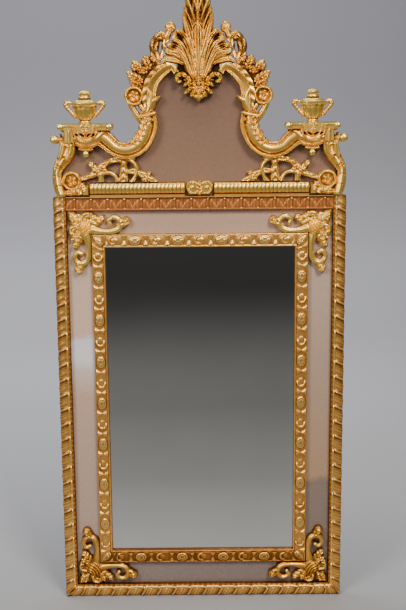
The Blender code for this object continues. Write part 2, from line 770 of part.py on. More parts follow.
def corner_forms():
    """A leafy boss in the corner, with a scroll along each border glass."""
    forms = [
        rosette(41, 43, 29, CORNER_RISE, 6),
        stroke([(42, 44, 17), (24, 24, 16), (9, 9, 8)], CORNER_RISE, veined, 3),
    ]
    arm = [
        ([(50, 52, 16), (58, 82, 13), (61, 108, 8), (60, 134, 8), (49, 151, 8), (32, 150, 7), (20, 134, 6),
          (28, 118, 6), (41, 124, 5)], 0.9, plain, 0),
        ([(46, 152, 10), (38, 164, 12), (33, 174, 9)], 0.9, veined, 0),
        ([(38, 60, 17), (28, 84, 15), (23, 106, 6)], 0.9, veined, 3),
        ([(34, 56, 12), (18, 62, 10), (11, 48, 9)], 0.85, plain, 0),
    ]
    for points, share, section, lobes in arm:
        turned = [(z, x, width) for x, z, width in points]
        forms.append(stroke(points, share * CORNER_RISE, section, lobes))
        forms.append(stroke(turned, share * CORNER_RISE, section, lobes))
    return forms


def make_corner_mounts():
    scale = BORDER_WIDTH / CORNER_SHEET_BORDER
    drawing = Sheet((0, 0), scale, scale)
    forms = corner_forms()

    def surface(x, z):
        edge, height = carved(forms, x, z)
        across = np.minimum(x, z)
        return np.minimum(edge, np.minimum(across, CORNER_SHEET_BORDER - across) - drawing.clearance), height

    for side, side_name in ((-1, "left"), (1, "right")):
        for end, end_name, border_z in ((-1, "top", BORDER_TOP), (1, "bottom", BORDER_BOTTOM)):
            part = carved_part(f"corner_mount_{end_name}_{side_name}", surface, drawing, CORNER_FIELD,
                               CORNER_TRIANGLES)
            part.data.transform(Matrix.Diagonal((-side, 1, end, 1)))
            if side * end > 0:
                part.data.flip_normals()
            part.location = (side * (HALF - OUTER_WIDTH), 0, border_z)


# Frame

def make_boards():
    box_part("frame_backboard", (-HALF, HALF), (BOTTOM, TOP), 0, BOARD_THICKNESS, BACK_WOOD)
    shaped_plate("crest_backboard", 0, BOARD_THICKNESS, BACK_WOOD)
    shaped_plate("crest_glass", BOARD_BED, BORDER_GLASS_THICKNESS, BORDER_PLATE)


def make_outer_mouldings():
    """Stiles the full height, the frieze between them at the top, and a mitred rail at the bottom."""
    carved_rail("outer_moulding_left", (-HALF, BOTTOM), (0, 1), (1, 0), FRAME_HEIGHT, OUTER_PITCH, leaf_outline,
                (1, 0), GILDING)
    carved_rail("outer_moulding_right", (HALF, BOTTOM), (0, 1), (-1, 0), FRAME_HEIGHT, OUTER_PITCH, leaf_outline,
                (1, 0), GILDING)
    carved_rail("outer_moulding_bottom", (-HALF, BOTTOM), (1, 0), (0, 1), FRAME_WIDTH, OUTER_PITCH, leaf_outline,
                (1, 1), GILDING)
    frieze_length = FRAME_WIDTH - 2 * OUTER_WIDTH - 2 * GAP
    carved_rail("frieze_moulding", (BORDER_LEFT + GAP, TOP), (1, 0), (0, -1), frieze_length, FRIEZE_PITCH,
                frieze_outline, (0, 0), FRIEZE_GILDING)


def make_inner_mouldings():
    width = -2 * INNER_LEFT
    height = INNER_TOP - INNER_BOTTOM
    rails = [
        ("inner_moulding_left", (INNER_LEFT, INNER_BOTTOM), (0, 1), (1, 0), height),
        ("inner_moulding_right", (-INNER_LEFT, INNER_BOTTOM), (0, 1), (-1, 0), height),
        ("inner_moulding_bottom", (INNER_LEFT, INNER_BOTTOM), (1, 0), (0, 1), width),
        ("inner_moulding_top", (INNER_LEFT, INNER_TOP), (1, 0), (0, -1), width),
    ]
    for name, start, along, inward, length in rails:
        carved_rail(name, start, along, inward, length, INNER_PITCH, flower_outline, (1, 1), GILDING)


def make_glass():
    """The main plate and the border glasses, each let in between its mouldings."""
    box_part("main_glass", (SIGHT_LEFT + GAP, -SIGHT_LEFT - GAP), (SIGHT_BOTTOM + GAP, SIGHT_TOP - GAP), BOARD_BED,
             MAIN_GLASS_THICKNESS, MIRROR_PLATE)
    across = (BORDER_LEFT + GAP, -BORDER_LEFT - GAP)
    top = (INNER_TOP + GAP, BORDER_TOP - GAP)
    bottom = (BORDER_BOTTOM + GAP, INNER_BOTTOM - GAP)
    strips = [("border_glass_top", across, top), ("border_glass_bottom", across, bottom)]
    for side, side_name, drop in ((-1, "left", LEFT_JOIN_DROP), (1, "right", RIGHT_JOIN_DROP)):
        near = side * (-BORDER_LEFT - GAP)
        far = side * (-INNER_LEFT + GAP)
        between = (min(near, far), max(near, far))
        join = TOP - drop
        strips.append((f"border_glass_{side_name}_upper", between, (join + GAP / 2, top[0] - GAP)))
        strips.append((f"border_glass_{side_name}_lower", between, (bottom[1] + GAP, join - GAP / 2)))
    for name, x_range, z_range in strips:
        box_part(name, x_range, z_range, BOARD_BED, BORDER_GLASS_THICKNESS, BORDER_PLATE)


make_boards()
make_outer_mouldings()
make_inner_mouldings()
make_glass()
make_corner_mounts()
make_crest_rails()
make_shell_and_clasp()
make_crest_sides()
make_urns()
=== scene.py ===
"""The carved and gilt wall mirror as the photograph shows it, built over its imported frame.

Everything is in metres: X to the right, Z up, the back plane at y = 0 and the front towards -Y.
"""
import math

import bpy
import numpy as np
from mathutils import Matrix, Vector


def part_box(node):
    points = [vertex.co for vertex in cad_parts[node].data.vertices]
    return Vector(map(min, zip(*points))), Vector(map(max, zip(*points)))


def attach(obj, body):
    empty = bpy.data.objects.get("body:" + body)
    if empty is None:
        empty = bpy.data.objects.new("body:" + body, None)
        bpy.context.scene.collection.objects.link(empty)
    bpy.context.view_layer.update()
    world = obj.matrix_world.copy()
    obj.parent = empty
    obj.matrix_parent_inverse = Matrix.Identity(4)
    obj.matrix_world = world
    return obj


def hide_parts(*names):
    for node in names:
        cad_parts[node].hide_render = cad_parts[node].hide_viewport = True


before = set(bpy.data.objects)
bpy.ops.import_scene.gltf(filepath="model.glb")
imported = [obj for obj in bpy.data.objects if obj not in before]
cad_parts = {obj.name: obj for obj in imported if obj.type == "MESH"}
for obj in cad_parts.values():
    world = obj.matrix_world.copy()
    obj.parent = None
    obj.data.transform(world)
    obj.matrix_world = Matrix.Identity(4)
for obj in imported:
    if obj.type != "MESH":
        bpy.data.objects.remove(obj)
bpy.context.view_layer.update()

# Sizes of the frame, read from its nodes
GAP = 0.0003
board_low, board_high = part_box("frame_backboard")
outer_low, outer_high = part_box("outer_moulding_left")
frieze_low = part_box("frieze_moulding")[0]
inner_low, inner_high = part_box("inner_moulding_left")
RAIL_LOW, RAIL_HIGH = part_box("crest_rail_right")
HALF, TOP, BOTTOM = board_high[0], board_high[2], board_low[2]
BOARD_BED = -board_low[1] + GAP
GLASS_BED = -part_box("border_glass_top")[0][1] + GAP
OUTER_WIDTH = outer_high[0] + HALF
OUTER_RISE = -outer_low[1] - BOARD_BED
FRIEZE_WIDTH = TOP - frieze_low[2]
FRIEZE_RISE = -frieze_low[1] - BOARD_BED
INNER_LEFT, INNER_BOTTOM, INNER_TOP = inner_low[0], inner_low[2], inner_high[2]
INNER_WIDTH = inner_high[0] - INNER_LEFT
INNER_RISE = -inner_low[1] - BOARD_BED
BORDER_TOP = TOP - FRIEZE_WIDTH
BORDER_BOTTOM = BOTTOM + OUTER_WIDTH
BORDER_WIDTH = INNER_LEFT + HALF - OUTER_WIDTH
RAIL_RISE = -RAIL_LOW[1] - GLASS_BED
RAIL_WIDTH = RAIL_HIGH[2] - RAIL_LOW[2]

# Lengths of the repeats of the ornament
OUTER_PITCH = 0.046
FRIEZE_PITCH = 0.047
INNER_PITCH = 0.130
REED_PITCH = 0.0112

# How far the carved forms rise, and their lowest wall
WALL = 0.008
CLEARANCE = 0.0022
ARM_RISE = 0.034
ARCH_RISE = 0.032
PLINTH_RISE = 0.035
CORNICE_RISE = 0.040
SHELL_RISE = 0.046
FOLIAGE_RISE = 0.027
TENDRIL_RISE = 0.022
CORNER_RISE = 0.022

# Carvings are drawn in millimetres, cut from a grid of this step, and a form counts a little past its outline
UNIT = 0.001
GRID_STEP = 1.4
EDGE_REACH = 0.4
MARGIN = 2

# Relief levels, 0 to 1, drive the gilding's painted shade and highlight: of a flat surface, a moulding's
# foot, and a carving's back and rim
FLAT_LEVEL = 0.55
# The foot, the back and the rim are set low, as painted shade where they meet the board and the glass
FOOT_LEVEL = 0.25
BACK_LEVEL = 0.2
RIM_SHARE = 0.75
BLUR_REACH = 0.006


# Shapes of plain numbers

def unit(value):
    return np.clip(value, 0, 1)


def bell(first, second=0.0):
    """1 where the offsets are nought, fading smoothly away."""
    return np.exp(-first ** 2 - second ** 2)


def dome(offset):
    """A half round over offsets from -1 to 1."""
    return np.sqrt(unit(1 - offset ** 2))


def wave(turns):
    return np.cos(2 * np.pi * turns)


def off(value):
    """How far a number is from the nearest whole one."""
    return np.abs((value + 0.5) % 1.0 - 0.5)


# Materials

def node(tree, kind, **values):
    """A shader node with inputs and properties set."""
    made = tree.nodes.new(kind)
    for key, value in values.items():
        if key in made.inputs:
            made.inputs[key].default_value = value
        else:
            setattr(made, key, value)
    return made


def new_material(name, **sockets):
    made = bpy.data.materials.new(name)
    made.use_nodes = True
    shader = made.node_tree.nodes["Principled BSDF"]
    for key, value in sockets.items():
        shader.inputs[key.replace("_", " ")].default_value = value
    return made, made.node_tree, shader


def ramp(tree, factor, stops):
    """A colour ramp over stops of a position and a colour or grey."""
    made = tree.nodes.new("ShaderNodeValToRGB")
    elements = made.color_ramp.elements
    while len(elements) < len(stops):
        elements.new(1.0)
    for element, (position, color) in zip(elements, stops):
        element.position = position
        element.color = (*(color if isinstance(color, tuple) else (color,) * 3), 1.0)
    tree.links.new(factor, made.inputs["Fac"])
    return made.outputs["Color"]


def paint(tree, shader, socket, factor, stops):
    tree.links.new(ramp(tree, factor, stops), shader.inputs[socket])


def combine(tree, operation, first, second, clamp=False):
    """Math on two sockets or numbers."""
    made = tree.nodes.new("ShaderNodeMath")
    made.operation = operation
    made.use_clamp = clamp
    for socket, value in zip(made.inputs, (first, second)):
        if isinstance(value, (int, float)):
            socket.default_value = value
        else:
            tree.links.new(value, socket)
    return made.outputs[0]


def noise(tree, scale, detail=3.0, roughness=0.55, stretch=(1, 1, 1)):
    """Noise in the object's own metres."""
    place = tree.nodes.new("ShaderNodeTexCoord")
    spread = node(tree, "ShaderNodeMapping")
    spread.inputs["Scale"].default_value = stretch
    made = node(tree, "ShaderNodeTexNoise", Scale=scale, Detail=detail, Roughness=roughness)
    tree.links.new(place.outputs["Object"], spread.inputs["Vector"])
    tree.links.new(spread.outputs["Vector"], made.inputs["Vector"])
    return made.outputs["Fac"]


def drift(tree, share, *texture):
    """Noise that swings by a share about nought."""
    return combine(tree, "MULTIPLY", combine(tree, "SUBTRACT", noise(tree, *texture), 0.5), share)


def along_axis(tree, axis, low, high):
    """0 to 1 over a stretch of one of the object's axes."""
    place = tree.nodes.new("ShaderNodeTexCoord")
    parts = tree.nodes.new("ShaderNodeSeparateXYZ")
    tree.links.new(place.outputs["Object"], parts.inputs["Vector"])
    return combine(tree, "DIVIDE", combine(tree, "SUBTRACT", parts.outputs[axis], low), high - low)


def add_bump(tree, shader, height, strength, distance):
    bump = node(tree, "ShaderNodeBump", Strength=strength, Distance=distance)
    tree.links.new(height, bump.inputs["Height"])
    tree.links.new(bump.outputs["Normal"], shader.inputs["Normal"])


def gilding(name, stops, wear, dull, bright):
    """Water gilding: dull in hollows, red where thin, burnished on the ridges; the darkness in hollows is
    painted shade and the brightest ridges are partly a painted highlight.
    """
    made, tree, shader = new_material(name, Metallic=0.88)
    stored = node(tree, "ShaderNodeAttribute", attribute_name="relief").outputs["Fac"]
    level = combine(tree, "ADD", stored, drift(tree, wear, 26.0, 4.0, 0.6))
    level = combine(tree, "ADD", level, drift(tree, 0.22, 190.0, 3.0, 0.6), clamp=True)
    paint(tree, shader, "Base Color", level, stops)
    paint(tree, shader, "Roughness", level, [(0.0, dull), (0.50, 0.4 * dull + 0.6 * bright), (1.0, bright)])
    add_bump(tree, shader, noise(tree, 420.0, 2.0), 0.35, 0.0006)
    return made


GOLD = gilding("gilding", [
    (0, (0.045, 0.016, 0.003)), (0.20, (0.15, 0.058, 0.009)), (0.34, (0.32, 0.135, 0.022)),
    (0.44, (0.64, 0.31, 0.055)), (0.52, (0.88, 0.46, 0.088)), (0.72, (1.0, 0.67, 0.135)),
    (1, (1.0, 0.80, 0.21))], 0.28, 0.54, 0.27)
RED_GOLD = gilding("red_gilding", [
    (0, (0.12, 0.036, 0.009)), (0.30, (0.32, 0.100, 0.025)), (0.56, (0.57, 0.205, 0.052)),
    (0.78, (0.84, 0.40, 0.11)), (1, (1.0, 0.68, 0.26))], 0.26, 0.58, 0.40)
BROWN_GOLD = gilding("brown_gilding", [
    (0, (0.070, 0.023, 0.004)), (0.22, (0.22, 0.078, 0.014)), (0.38, (0.48, 0.190, 0.036)),
    (0.54, (0.90, 0.44, 0.095)), (0.76, (1.0, 0.65, 0.18)), (1, (1.0, 0.77, 0.30))], 0.28, 0.54, 0.30)


def mirror_plate():
    """Old silvering: nearly clear, with faint clouds."""
    made, tree, shader = new_material("mirror_plate", Metallic=1.0, Coat_Weight=0.2)
    silver = [(0.3, (0.80, 0.82, 0.81)), (0.7, (0.88, 0.89, 0.88))]
    paint(tree, shader, "Base Color", noise(tree, 3.0, 4.0), silver)
    paint(tree, shader, "Roughness", noise(tree, 9.0, 5.0), [(0.3, 0.02), (0.75, 0.05)])
    return made


def border_plate(name, stops, low, high, axis):
    """Tinted glass whose tone drifts along the plate, with fine clouding; on the side plates the drift holds
    painted reflections.
    """
    made, tree, shader = new_material(name, Metallic=0.25, Coat_Weight=0.5, Coat_Roughness=0.08)
    along = along_axis(tree, axis, low, high)
    level = combine(tree, "ADD", along, drift(tree, 0.10, 7.0, 4.0), clamp=True)
    paint(tree, shader, "Base Color", level, stops)
    paint(tree, shader, "Roughness", noise(tree, 60.0, 4.0), [(0.3, 0.24), (0.7, 0.32)])
    return made


def back_wood():
    made, tree, shader = new_material("back_wood", Metallic=0.0)
    grain = noise(tree, 18.0, 5.0, 0.6, (6, 6, 0.6))
    paint(tree, shader, "Base Color", grain, [(0.3, (0.11, 0.062, 0.033)), (0.7, (0.23, 0.14, 0.08))])
    paint(tree, shader, "Roughness", grain, [(0.3, 0.85), (0.7, 0.65)])
    add_bump(tree, shader, grain, 0.4, 0.001)
    return made


# Relief shading: how far a point of a carved surface stands above or below its surroundings

def blurred(field, reach):
    """Mean over a window of twice the reach along each axis."""
    for span in reach:
        padded = np.pad(field, ((span, span), (0, 0)), mode="edge")
        total = np.cumsum(np.insert(padded, 0, 0.0, axis=0), axis=0)
        length = 2 * span + 1
        field = ((total[length:] - total[:-length]) / length).T
    return field


def relief_level(height, reach, depth):
    """0 in deep hollows and 1 on sharp ridges."""
    wide = blurred(blurred(height, reach), reach)
    return unit(FLAT_LEVEL + (height - wide) / depth)


def add_object(name, data):
    made = bpy.data.objects.new(name, data)
    bpy.context.scene.collection.objects.link(made)
    return made


def mesh_object(name, points, faces, levels, finish, smooth_angle):
    """A piece with its relief levels stored on its points."""
    mesh = bpy.data.meshes.new(name)
    mesh.from_pydata(np.asarray(points).tolist(), [], faces)
    mesh.update()
    stored = mesh.attributes.new("relief", "FLOAT", "POINT")
    stored.data.foreach_set("value", np.asarray(levels, dtype=np.float32))
    mesh.materials.append(finish)
    mesh.shade_smooth()
    mesh.set_sharp_from_angle(angle=math.radians(smooth_angle))
    return add_object(name, mesh)


def tube_mesh(name, grid, levels, finish, smooth_angle, flip=False):
    """A closed tube over rings of points, with a cap at each end."""
    index = np.arange(levels.size).reshape(levels.shape)
    near, far = index[:-1], index[1:]
    quads = np.stack([near, np.roll(near, -1, 1), np.roll(far, -1, 1), far], axis=2).reshape(-1, 4)
    caps = index[[0, -1]]
    caps[0] = caps[0][::-1]
    if flip:
        quads, caps = quads[:, ::-1], caps[:, ::-1]
    return mesh_object(name, grid.reshape(-1, 3), quads.tolist() + caps.tolist(), levels.ravel(), finish,
                       smooth_angle)


def stands_for(piece, slot_name, *nodes):
    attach(piece, "root")
    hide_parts(*nodes)


# Mouldings: a surface gives the height, as a share of the rise, for shares across and along one repeat

CARVED_ANGLE = 50
BANDS = 30
LEAF_EDGE, KNOB_MIDDLE, BAND_EDGE = 0.64, 0.75, 0.86
BAND_MIDDLE = 0.46
HALF_BAND = 0.0138
FLOWER_REACH = 0.0185


def leaf_place(across, along):
    """How far out on its slanting leaf a point lies, and how far along it."""
    place = unit(across / LEAF_EDGE)
    return place, (along - 0.24 * place) % 1.0


def leaf_surface(across, along):
    """Outer moulding: leaves with a slanting raised edge, a band with knobs, and a fillet."""
    place, step = leaf_place(across, along)
    swell = np.sin(np.pi * (0.14 + 0.50 * place)) ** 0.7
    leaf = 0.20 + swell * (0.52 + 0.22 * bell(off(step) / 0.065) + 0.03 * bell(off(step - 0.38) / 0.10))
    beside = off(along - 0.14)
    knob = bell(beside / 0.11, (across - KNOB_MIDDLE) / 0.08)
    small = bell((beside - 0.33) / 0.09, (across - KNOB_MIDDLE) / 0.06)
    band = 0.66 + 0.06 * np.sin(np.pi * (across - LEAF_EDGE) / 0.22) + 0.16 * knob + 0.03 * small
    fillet = 0.62 + 0.05 * np.sin(np.pi * (across - BAND_EDGE) / 0.14)
    return np.where(across < LEAF_EDGE, leaf, np.where(across < BAND_EDGE, band, fillet))


def leaf_painted_light(across, along):
    """Painted highlights on the ridges and the band, and painted shade below each ridge and at the inner
    edge.
    """
    step = leaf_place(across, along)[1]
    # Faint vein lines and a band below each ridge are painted shade; the ridge itself gets a painted
    # highlight
    veins = 0.11 * wave(5 * step) - 0.22 * bell((step - 0.84) / 0.07)
    edges = np.interp(across, (0.0, 0.20, 0.55, 0.70, 0.84, 0.90, 1.0),
                      (0.06, -0.08, 0.0, 0.12, 0.08, -0.06, -0.30))
    return edges + np.where(across < LEAF_EDGE, veins, 0.08 * wave(3 * along))


def leaf_edge(along):
    """How far the outer edge draws in between the leaf tips."""
    return 0.0015 * np.abs(np.cos(np.pi * along)) ** 1.5


def frieze_surface(across, along):
    """Frieze: upright leaves whose tips curl out, darts between them, and two fillets."""
    from_middle = np.abs(along - 0.5) * 2
    outline = 0.86 * unit(1 - from_middle ** 2.2) ** 0.5
    leaf = unit((outline - (1 - across)) / 0.14)
    veins = 0.5 + 0.5 * wave(2.5 * from_middle)
    dart = unit(1 - np.abs(from_middle - 1) / 0.14)
    body = 0.62 + leaf * (0.03 + 0.08 * bell(from_middle / 0.12) + 0.04 * veins) + 0.10 * dart
    tip = unit(1 - ((across - 0.20) / 0.10) ** 2 - (from_middle / 0.20) ** 2) ** 0.5
    fillets = np.where(across > 0.88, 0.78, np.where(across < 0.09, 0.84, 0.0))
    return np.maximum(np.maximum(body, 0.64 + 0.26 * tip), fillets)


def flower_surface(across, along):
    """Inner moulding: oval flowers and tulips, crossed clasps between them, and a fillet on each side."""
    band = (across - BAND_MIDDLE) * INNER_WIDTH
    reach = np.abs(band) / HALF_BAND

    def run_from(share):
        return ((along - share + 0.5) % 1.0 - 0.5) * INNER_PITCH

    flower = run_from(0.0)
    out = np.hypot(flower / FLOWER_REACH, band / HALF_BAND)
    angle = np.arctan2(band / HALF_BAND, flower / FLOWER_REACH)
    lifted = 0.19 * unit(1 - out ** 4) ** 0.5 * (0.84 + 0.09 * wave(2.5 * out) + 0.07 * np.cos(6 * angle))
    for share in (0.25, 0.75):
        wing = unit((0.16 + 0.84 * reach - np.abs(run_from(share)) / 0.0095) / 0.45) ** 0.7
        lifted = np.maximum(lifted, (reach < 1) * wing * (0.05 + 0.16 * reach))
    tulip = run_from(0.5)
    cup = dome((np.hypot(tulip / 0.0175, band / HALF_BAND) - 0.80) / 0.22) * unit((0.004 - tulip) / 0.008)
    heart = dome(np.hypot((tulip - 0.002) / 0.0100, band / 0.0075))
    lifted = np.maximum(lifted, np.maximum(0.17 * cup, 0.08 * heart))
    body = 0.58 + 0.12 * dome(band / 0.0155) + lifted
    outer = 0.68 + 0.04 * np.sin(np.pi * across / 0.10)
    sight = 0.60 + 0.08 * np.sin(np.pi * (across - 0.84) / 0.16)
    return np.where(across < 0.10, outer, np.where(across < 0.82, body, sight))


def flower_painted_light(across, along):
    """Painted highlights make the inner moulding's fillets and flowers palest, with painted shade at both
    outer edges.
    """
    out = np.hypot(off(along) * INNER_PITCH / FLOWER_REACH, (across - BAND_MIDDLE) * INNER_WIDTH / HALF_BAND)
    # Bright and dark rings painted on the oval flowers, as highlight and shade of their relief
    oval = np.clip(1.2 - out, 0, 0.2) * (0.2 + 1.1 * wave(2.5 * out))
    edges = np.interp(across, (0.0, 0.04, 0.12, 0.20, 0.78, 0.86, 0.96, 1.0),
                      (-0.2, 0.10, 0.08, 0.0, 0.0, 0.10, 0.10, -0.1))
    return oval + edges


def reed_surface(across, along):
    """Crest rail: a fillet, then a roll with reeds across it."""
    roll = dome((across - 0.58) / 0.40)
    body = 0.46 + 0.42 * roll + 0.10 * roll * np.abs(np.sin(np.pi * along)) ** 0.8
    return np.where(across < 0.16, 0.66, body)


def rail(name, start, along, inward, length, pitch, surface, width, rise, mitres, finish, stations=30,
         edge=None, bed=BOARD_BED, tone=None, depth=0.30):
    """A moulding lofted from its surface, with stations to a repeat."""
    repeats = max(1, round(length / pitch))
    count = repeats * stations
    travelled = np.linspace(0, length, count + 1)
    share = (travelled / length * repeats) % 1.0
    share[-1] = 0.0
    place, turn = np.meshgrid(np.linspace(0, 1, BANDS + 1), share)
    height = surface(place, turn) * rise
    zone = 1.5 * width
    lean = mitres[0] * unit(1 - travelled / zone) - mitres[1] * unit(1 - (length - travelled) / zone)
    offset = place * width + (edge(share)[:, None] * (1 - place) if edge else 0.0)
    run = travelled[:, None] + (offset + GAP) * lean[:, None]
    x, z = [start[axis] + run * along[axis] + offset * inward[axis] for axis in (0, 1)]
    top = np.stack([x, -bed - height, z], axis=2)
    feet = top[:, [0, -1]]
    feet[:, :, 1] = -bed
    grid = np.concatenate([feet[:, :1], top, feet[:, 1:]], axis=1)
    reach = [max(1, round(BLUR_REACH / step)) for step in (length / count, width / BANDS)]
    level = relief_level(height, reach, depth * rise)
    if tone:
        level = unit(level + tone(place, turn))
    # The feet take the low foot level, as painted shade where the moulding meets the board
    level = np.pad(level, ((0, 0), (1, 1)), constant_values=FOOT_LEVEL)
    turned_over = along[0] * inward[1] < along[1] * inward[0]
    return tube_mesh(name, grid, level, finish, CARVED_ANGLE, turned_over)


def sides_of(left, bottom, top):
    """The sides of a rectangle: name, start, direction, way inward and length."""
    return (("left", (left, bottom), (0, 1), (1, 0), top - bottom),
            ("right", (-left, bottom), (0, 1), (-1, 0), top - bottom),
            ("bottom", (left, bottom), (1, 0), (0, 1), -2 * left),
            ("top", (left, top), (1, 0), (0, -1), -2 * left))


def make_mouldings():
    outer = (OUTER_PITCH, leaf_surface, OUTER_WIDTH, OUTER_RISE)
    for name, *way in sides_of(-HALF, BOTTOM, TOP)[:3]:
        piece = rail("leaf_moulding_" + name, *way, *outer, (1, int(name == "bottom")), BROWN_GOLD,
                     edge=leaf_edge, tone=leaf_painted_light)
        stands_for(piece, "gilding", "outer_moulding_" + name)
    frieze_left = -HALF + OUTER_WIDTH + GAP
    piece = rail("leaf_frieze", (frieze_left, TOP), (1, 0), (0, -1), -2 * frieze_left, FRIEZE_PITCH,
                 frieze_surface, FRIEZE_WIDTH, FRIEZE_RISE, (0, 0), RED_GOLD)
    stands_for(piece, "frieze_gilding", "frieze_moulding")
    inner = (INNER_PITCH, flower_surface, INNER_WIDTH, INNER_RISE)
    # The bottom moulding is darkened as painted shade and the top one lightened a little as painted light
    for (name, *way), shade in zip(sides_of(INNER_LEFT, INNER_BOTTOM, INNER_TOP), (0.0, 0.0, -0.22, 0.03)):
        piece = rail("flower_moulding_" + name, *way, *inner, (1, 1), BROWN_GOLD, stations=84,
                     tone=lambda across, turn: flower_painted_light(across, turn) + shade, depth=0.40)
        stands_for(piece, "gilding", "inner_moulding_" + name)
    for side, name in ((1, "right"), (-1, "left")):
        start = (side * RAIL_LOW[0], RAIL_LOW[2])
        piece = rail("reeded_rail_" + name, start, (side, 0), (0, 1), RAIL_HIGH[0] - RAIL_LOW[0], REED_PITCH,
                     reed_surface, RAIL_WIDTH, RAIL_RISE, (0, 0), GOLD, stations=10, bed=GLASS_BED)
        stands_for(piece, "gilding", "crest_rail_" + name)


# Carving in relief: each form gives, for points of its drawing, how far inside its outline they lie and how
# high its surface stands there. Forms are joined by taking the highest.

def smooth_path(points, steps=8):
    """A smooth curve through points of (x, z, half width)."""
    given = np.array(points, float)
    framed = np.vstack([2 * given[0] - given[1], given, 2 * given[-1] - given[-2]])
    curve = []
    for index in range(len(given) - 1):
        before, here, after, beyond = framed[index:index + 4]
        for t in np.arange(steps) / steps:
            bend = 2 * before - 5 * here + 4 * after - beyond
            twist = 3 * here - before - 3 * after + beyond
            curve.append(here + 0.5 * ((after - before) * t + bend * t ** 2 + twist * t ** 3))
    curve.append(given[-1])
    return np.array(curve)


def follow(curve, x, z):
    """For each point: distance to the curve, side, share of its length, and the half width there."""
    nearest = np.full(x.shape, np.inf)
    side, share, width = np.ones(x.shape), np.zeros(x.shape), np.zeros(x.shape)
    runs = np.hypot(*np.diff(curve[:, :2], axis=0).T)
    total = runs.sum()
    travelled = 0.0
    for (x0, z0, w0), (x1, z1, w1), run in zip(curve[:-1], curve[1:], runs):
        dx, dz = x1 - x0, z1 - z0
        part = unit(((x - x0) * dx + (z - z0) * dz) / (run * run))
        off_x, off_z = x - x0 - part * dx, z - z0 - part * dz
        distance = np.hypot(off_x, off_z)
        closer = distance < nearest
        nearest = np.where(closer, distance, nearest)
        side = np.where(closer, np.sign(dx * off_z - dz * off_x), side)
        share = np.where(closer, (travelled + part * run) / total, share)
        width = np.where(closer, w0 + part * (w1 - w0), width)
        travelled += run
    return nearest, side, share, width


# Sections of a limb: its height for places across it, from -1 to 1, and for the share of its length

def plain(across, share):
    return dome(across)


def ribbed(ribs):
    """Rounded, with hollows between ribs that run along it."""
    def section(across, share):
        return dome(across) ** 0.7 * (0.80 + 0.20 * np.abs(np.cos(np.pi * ribs * across / 2)) ** 0.7)
    return section


def coved(across, share):
    """A smooth hollow with three ridges, and a row of small leaves on the outer side."""
    hollow = 0.62 + 0.38 * unit((1 - across) / 1.30) ** 1.5
    for place, lift, reach in ((0.90, 0.16, 0.09), (0.62, 0.07, 0.06), (-0.22, 0.08, 0.07)):
        hollow = hollow + lift * bell((across - place) / reach)
    leafy = 0.74 + 0.12 * np.abs(np.sin(np.pi * (9 * share - 0.7 * across)))
    return unit((1 - np.abs(across)) / 0.05) ** 0.5 * np.where(across > -0.34, hollow, leafy)


def moulded(across, share):
    """A broad round band between two fillets."""
    out = np.abs(across)
    from_band = (across + 0.10) / 0.46
    fillets = 0.62 + 0.22 * bell((out - 0.62) / 0.08) + 0.18 * bell((out - 0.89) / 0.07)
    body = np.where(np.abs(from_band) < 1, 0.76 + 0.24 * dome(from_band), fillets)
    return unit((1 - out) / 0.06) ** 0.5 * body


def acanthus(fronds):
    """A leaf: fronds leave its sunk vein slantwise."""
    def section(across, share):
        frond = 0.5 + 0.5 * wave(fronds * share - 0.8 * np.abs(across))
        return dome(across) ** 0.7 * (0.78 + 0.22 * frond) * (1 - 0.22 * bell(across / 0.12))
    return section


def husked(count):
    """Overlapping husks, each rising to its tip, with a midrib."""
    def section(across, share):
        step = (count * share - 0.40 * across ** 2) % 1.0
        return dome(across) ** 0.8 * (0.68 + 0.24 * step + 0.08 * bell(across / 0.20))
    return section


# Forms, each with the box that it can reach

def raised(rise, share):
    return WALL + (rise - WALL) * share


def reach_of(points, extra):
    return np.min(points, axis=0)[:2] - extra, np.max(points, axis=0)[:2] + extra


def stroke(points, rise, section=plain, lobes=0):
    """A tapering limb along points given as (x, z, half width)."""
    curve = smooth_path(points)

    def form(x, z):
        distance, side, share, width = follow(curve, x, z)
        if lobes:
            width = width * (0.82 + 0.18 * np.abs(np.sin(np.pi * lobes * share)))
        across = np.clip(side * distance / np.maximum(width, 0.1), -1, 1)
        return width - distance, raised(rise, section(across, share))
    return form, reach_of(curve, curve[:, 2].max() + MARGIN)


def rosette(mid_x, mid_z, radius, rise, petals=8):
    """A flower: cupped petals round a boss."""
    def form(x, z):
        distance = np.hypot(x - mid_x, z - mid_z)
        petal = np.abs(np.cos(petals / 2 * np.arctan2(z - mid_z, x - mid_x)))
        rim = radius * (0.82 + 0.18 * petal)
        out = unit(distance / rim)
        cup = 0.66 + 0.30 * np.sin(np.pi * unit((out - 0.20) / 0.70)) * (0.30 + 0.70 * petal)
        boss = 1.0 - 0.5 * (out / 0.25) ** 2
        return rim - distance, raised(rise, np.where(out < 0.22, boss, cup) * np.sqrt(1 - out ** 5))
    return form, reach_of([(mid_x, mid_z)], radius + MARGIN)


def ring(mid_x, mid_z, radius, rise):
    """A volute's round rim with a flower in its eye."""
    flower = rosette(mid_x, mid_z, 0.74 * radius, 0.94 * rise, 5)[0]

    def form(x, z):
        distance = np.hypot(x - mid_x, z - mid_z)
        rim = dome((unit(distance / radius) - 0.82) / 0.18)
        height = raised(rise, np.maximum(rim, 0.56))
        inside, petals = flower(x, z)
        return radius - distance, np.where(inside > 0, np.maximum(height, petals), height)
    return form, reach_of([(mid_x, mid_z)], radius + MARGIN)


def block(x_range, z_range, rise, ease=2.5):
    """A rectangle whose edges are eased."""
    def form(x, z):
        edge_x = np.minimum(x - x_range[0], x_range[1] - x)
        edge = np.minimum(edge_x, np.minimum(z - z_range[0], z_range[1] - z))
        return edge, raised(rise, unit(edge / ease) ** 0.5)
    return form, reach_of(list(zip(x_range, z_range)), MARGIN)


def bead(mid_x, mid_z, radius, rise):
    def form(x, z):
        out = np.hypot(x - mid_x, z - mid_z) / radius
        return radius * (1 - out), rise - 0.6 * radius * UNIT * (1 - dome(out))
    return form, reach_of([(mid_x, mid_z)], radius + MARGIN)


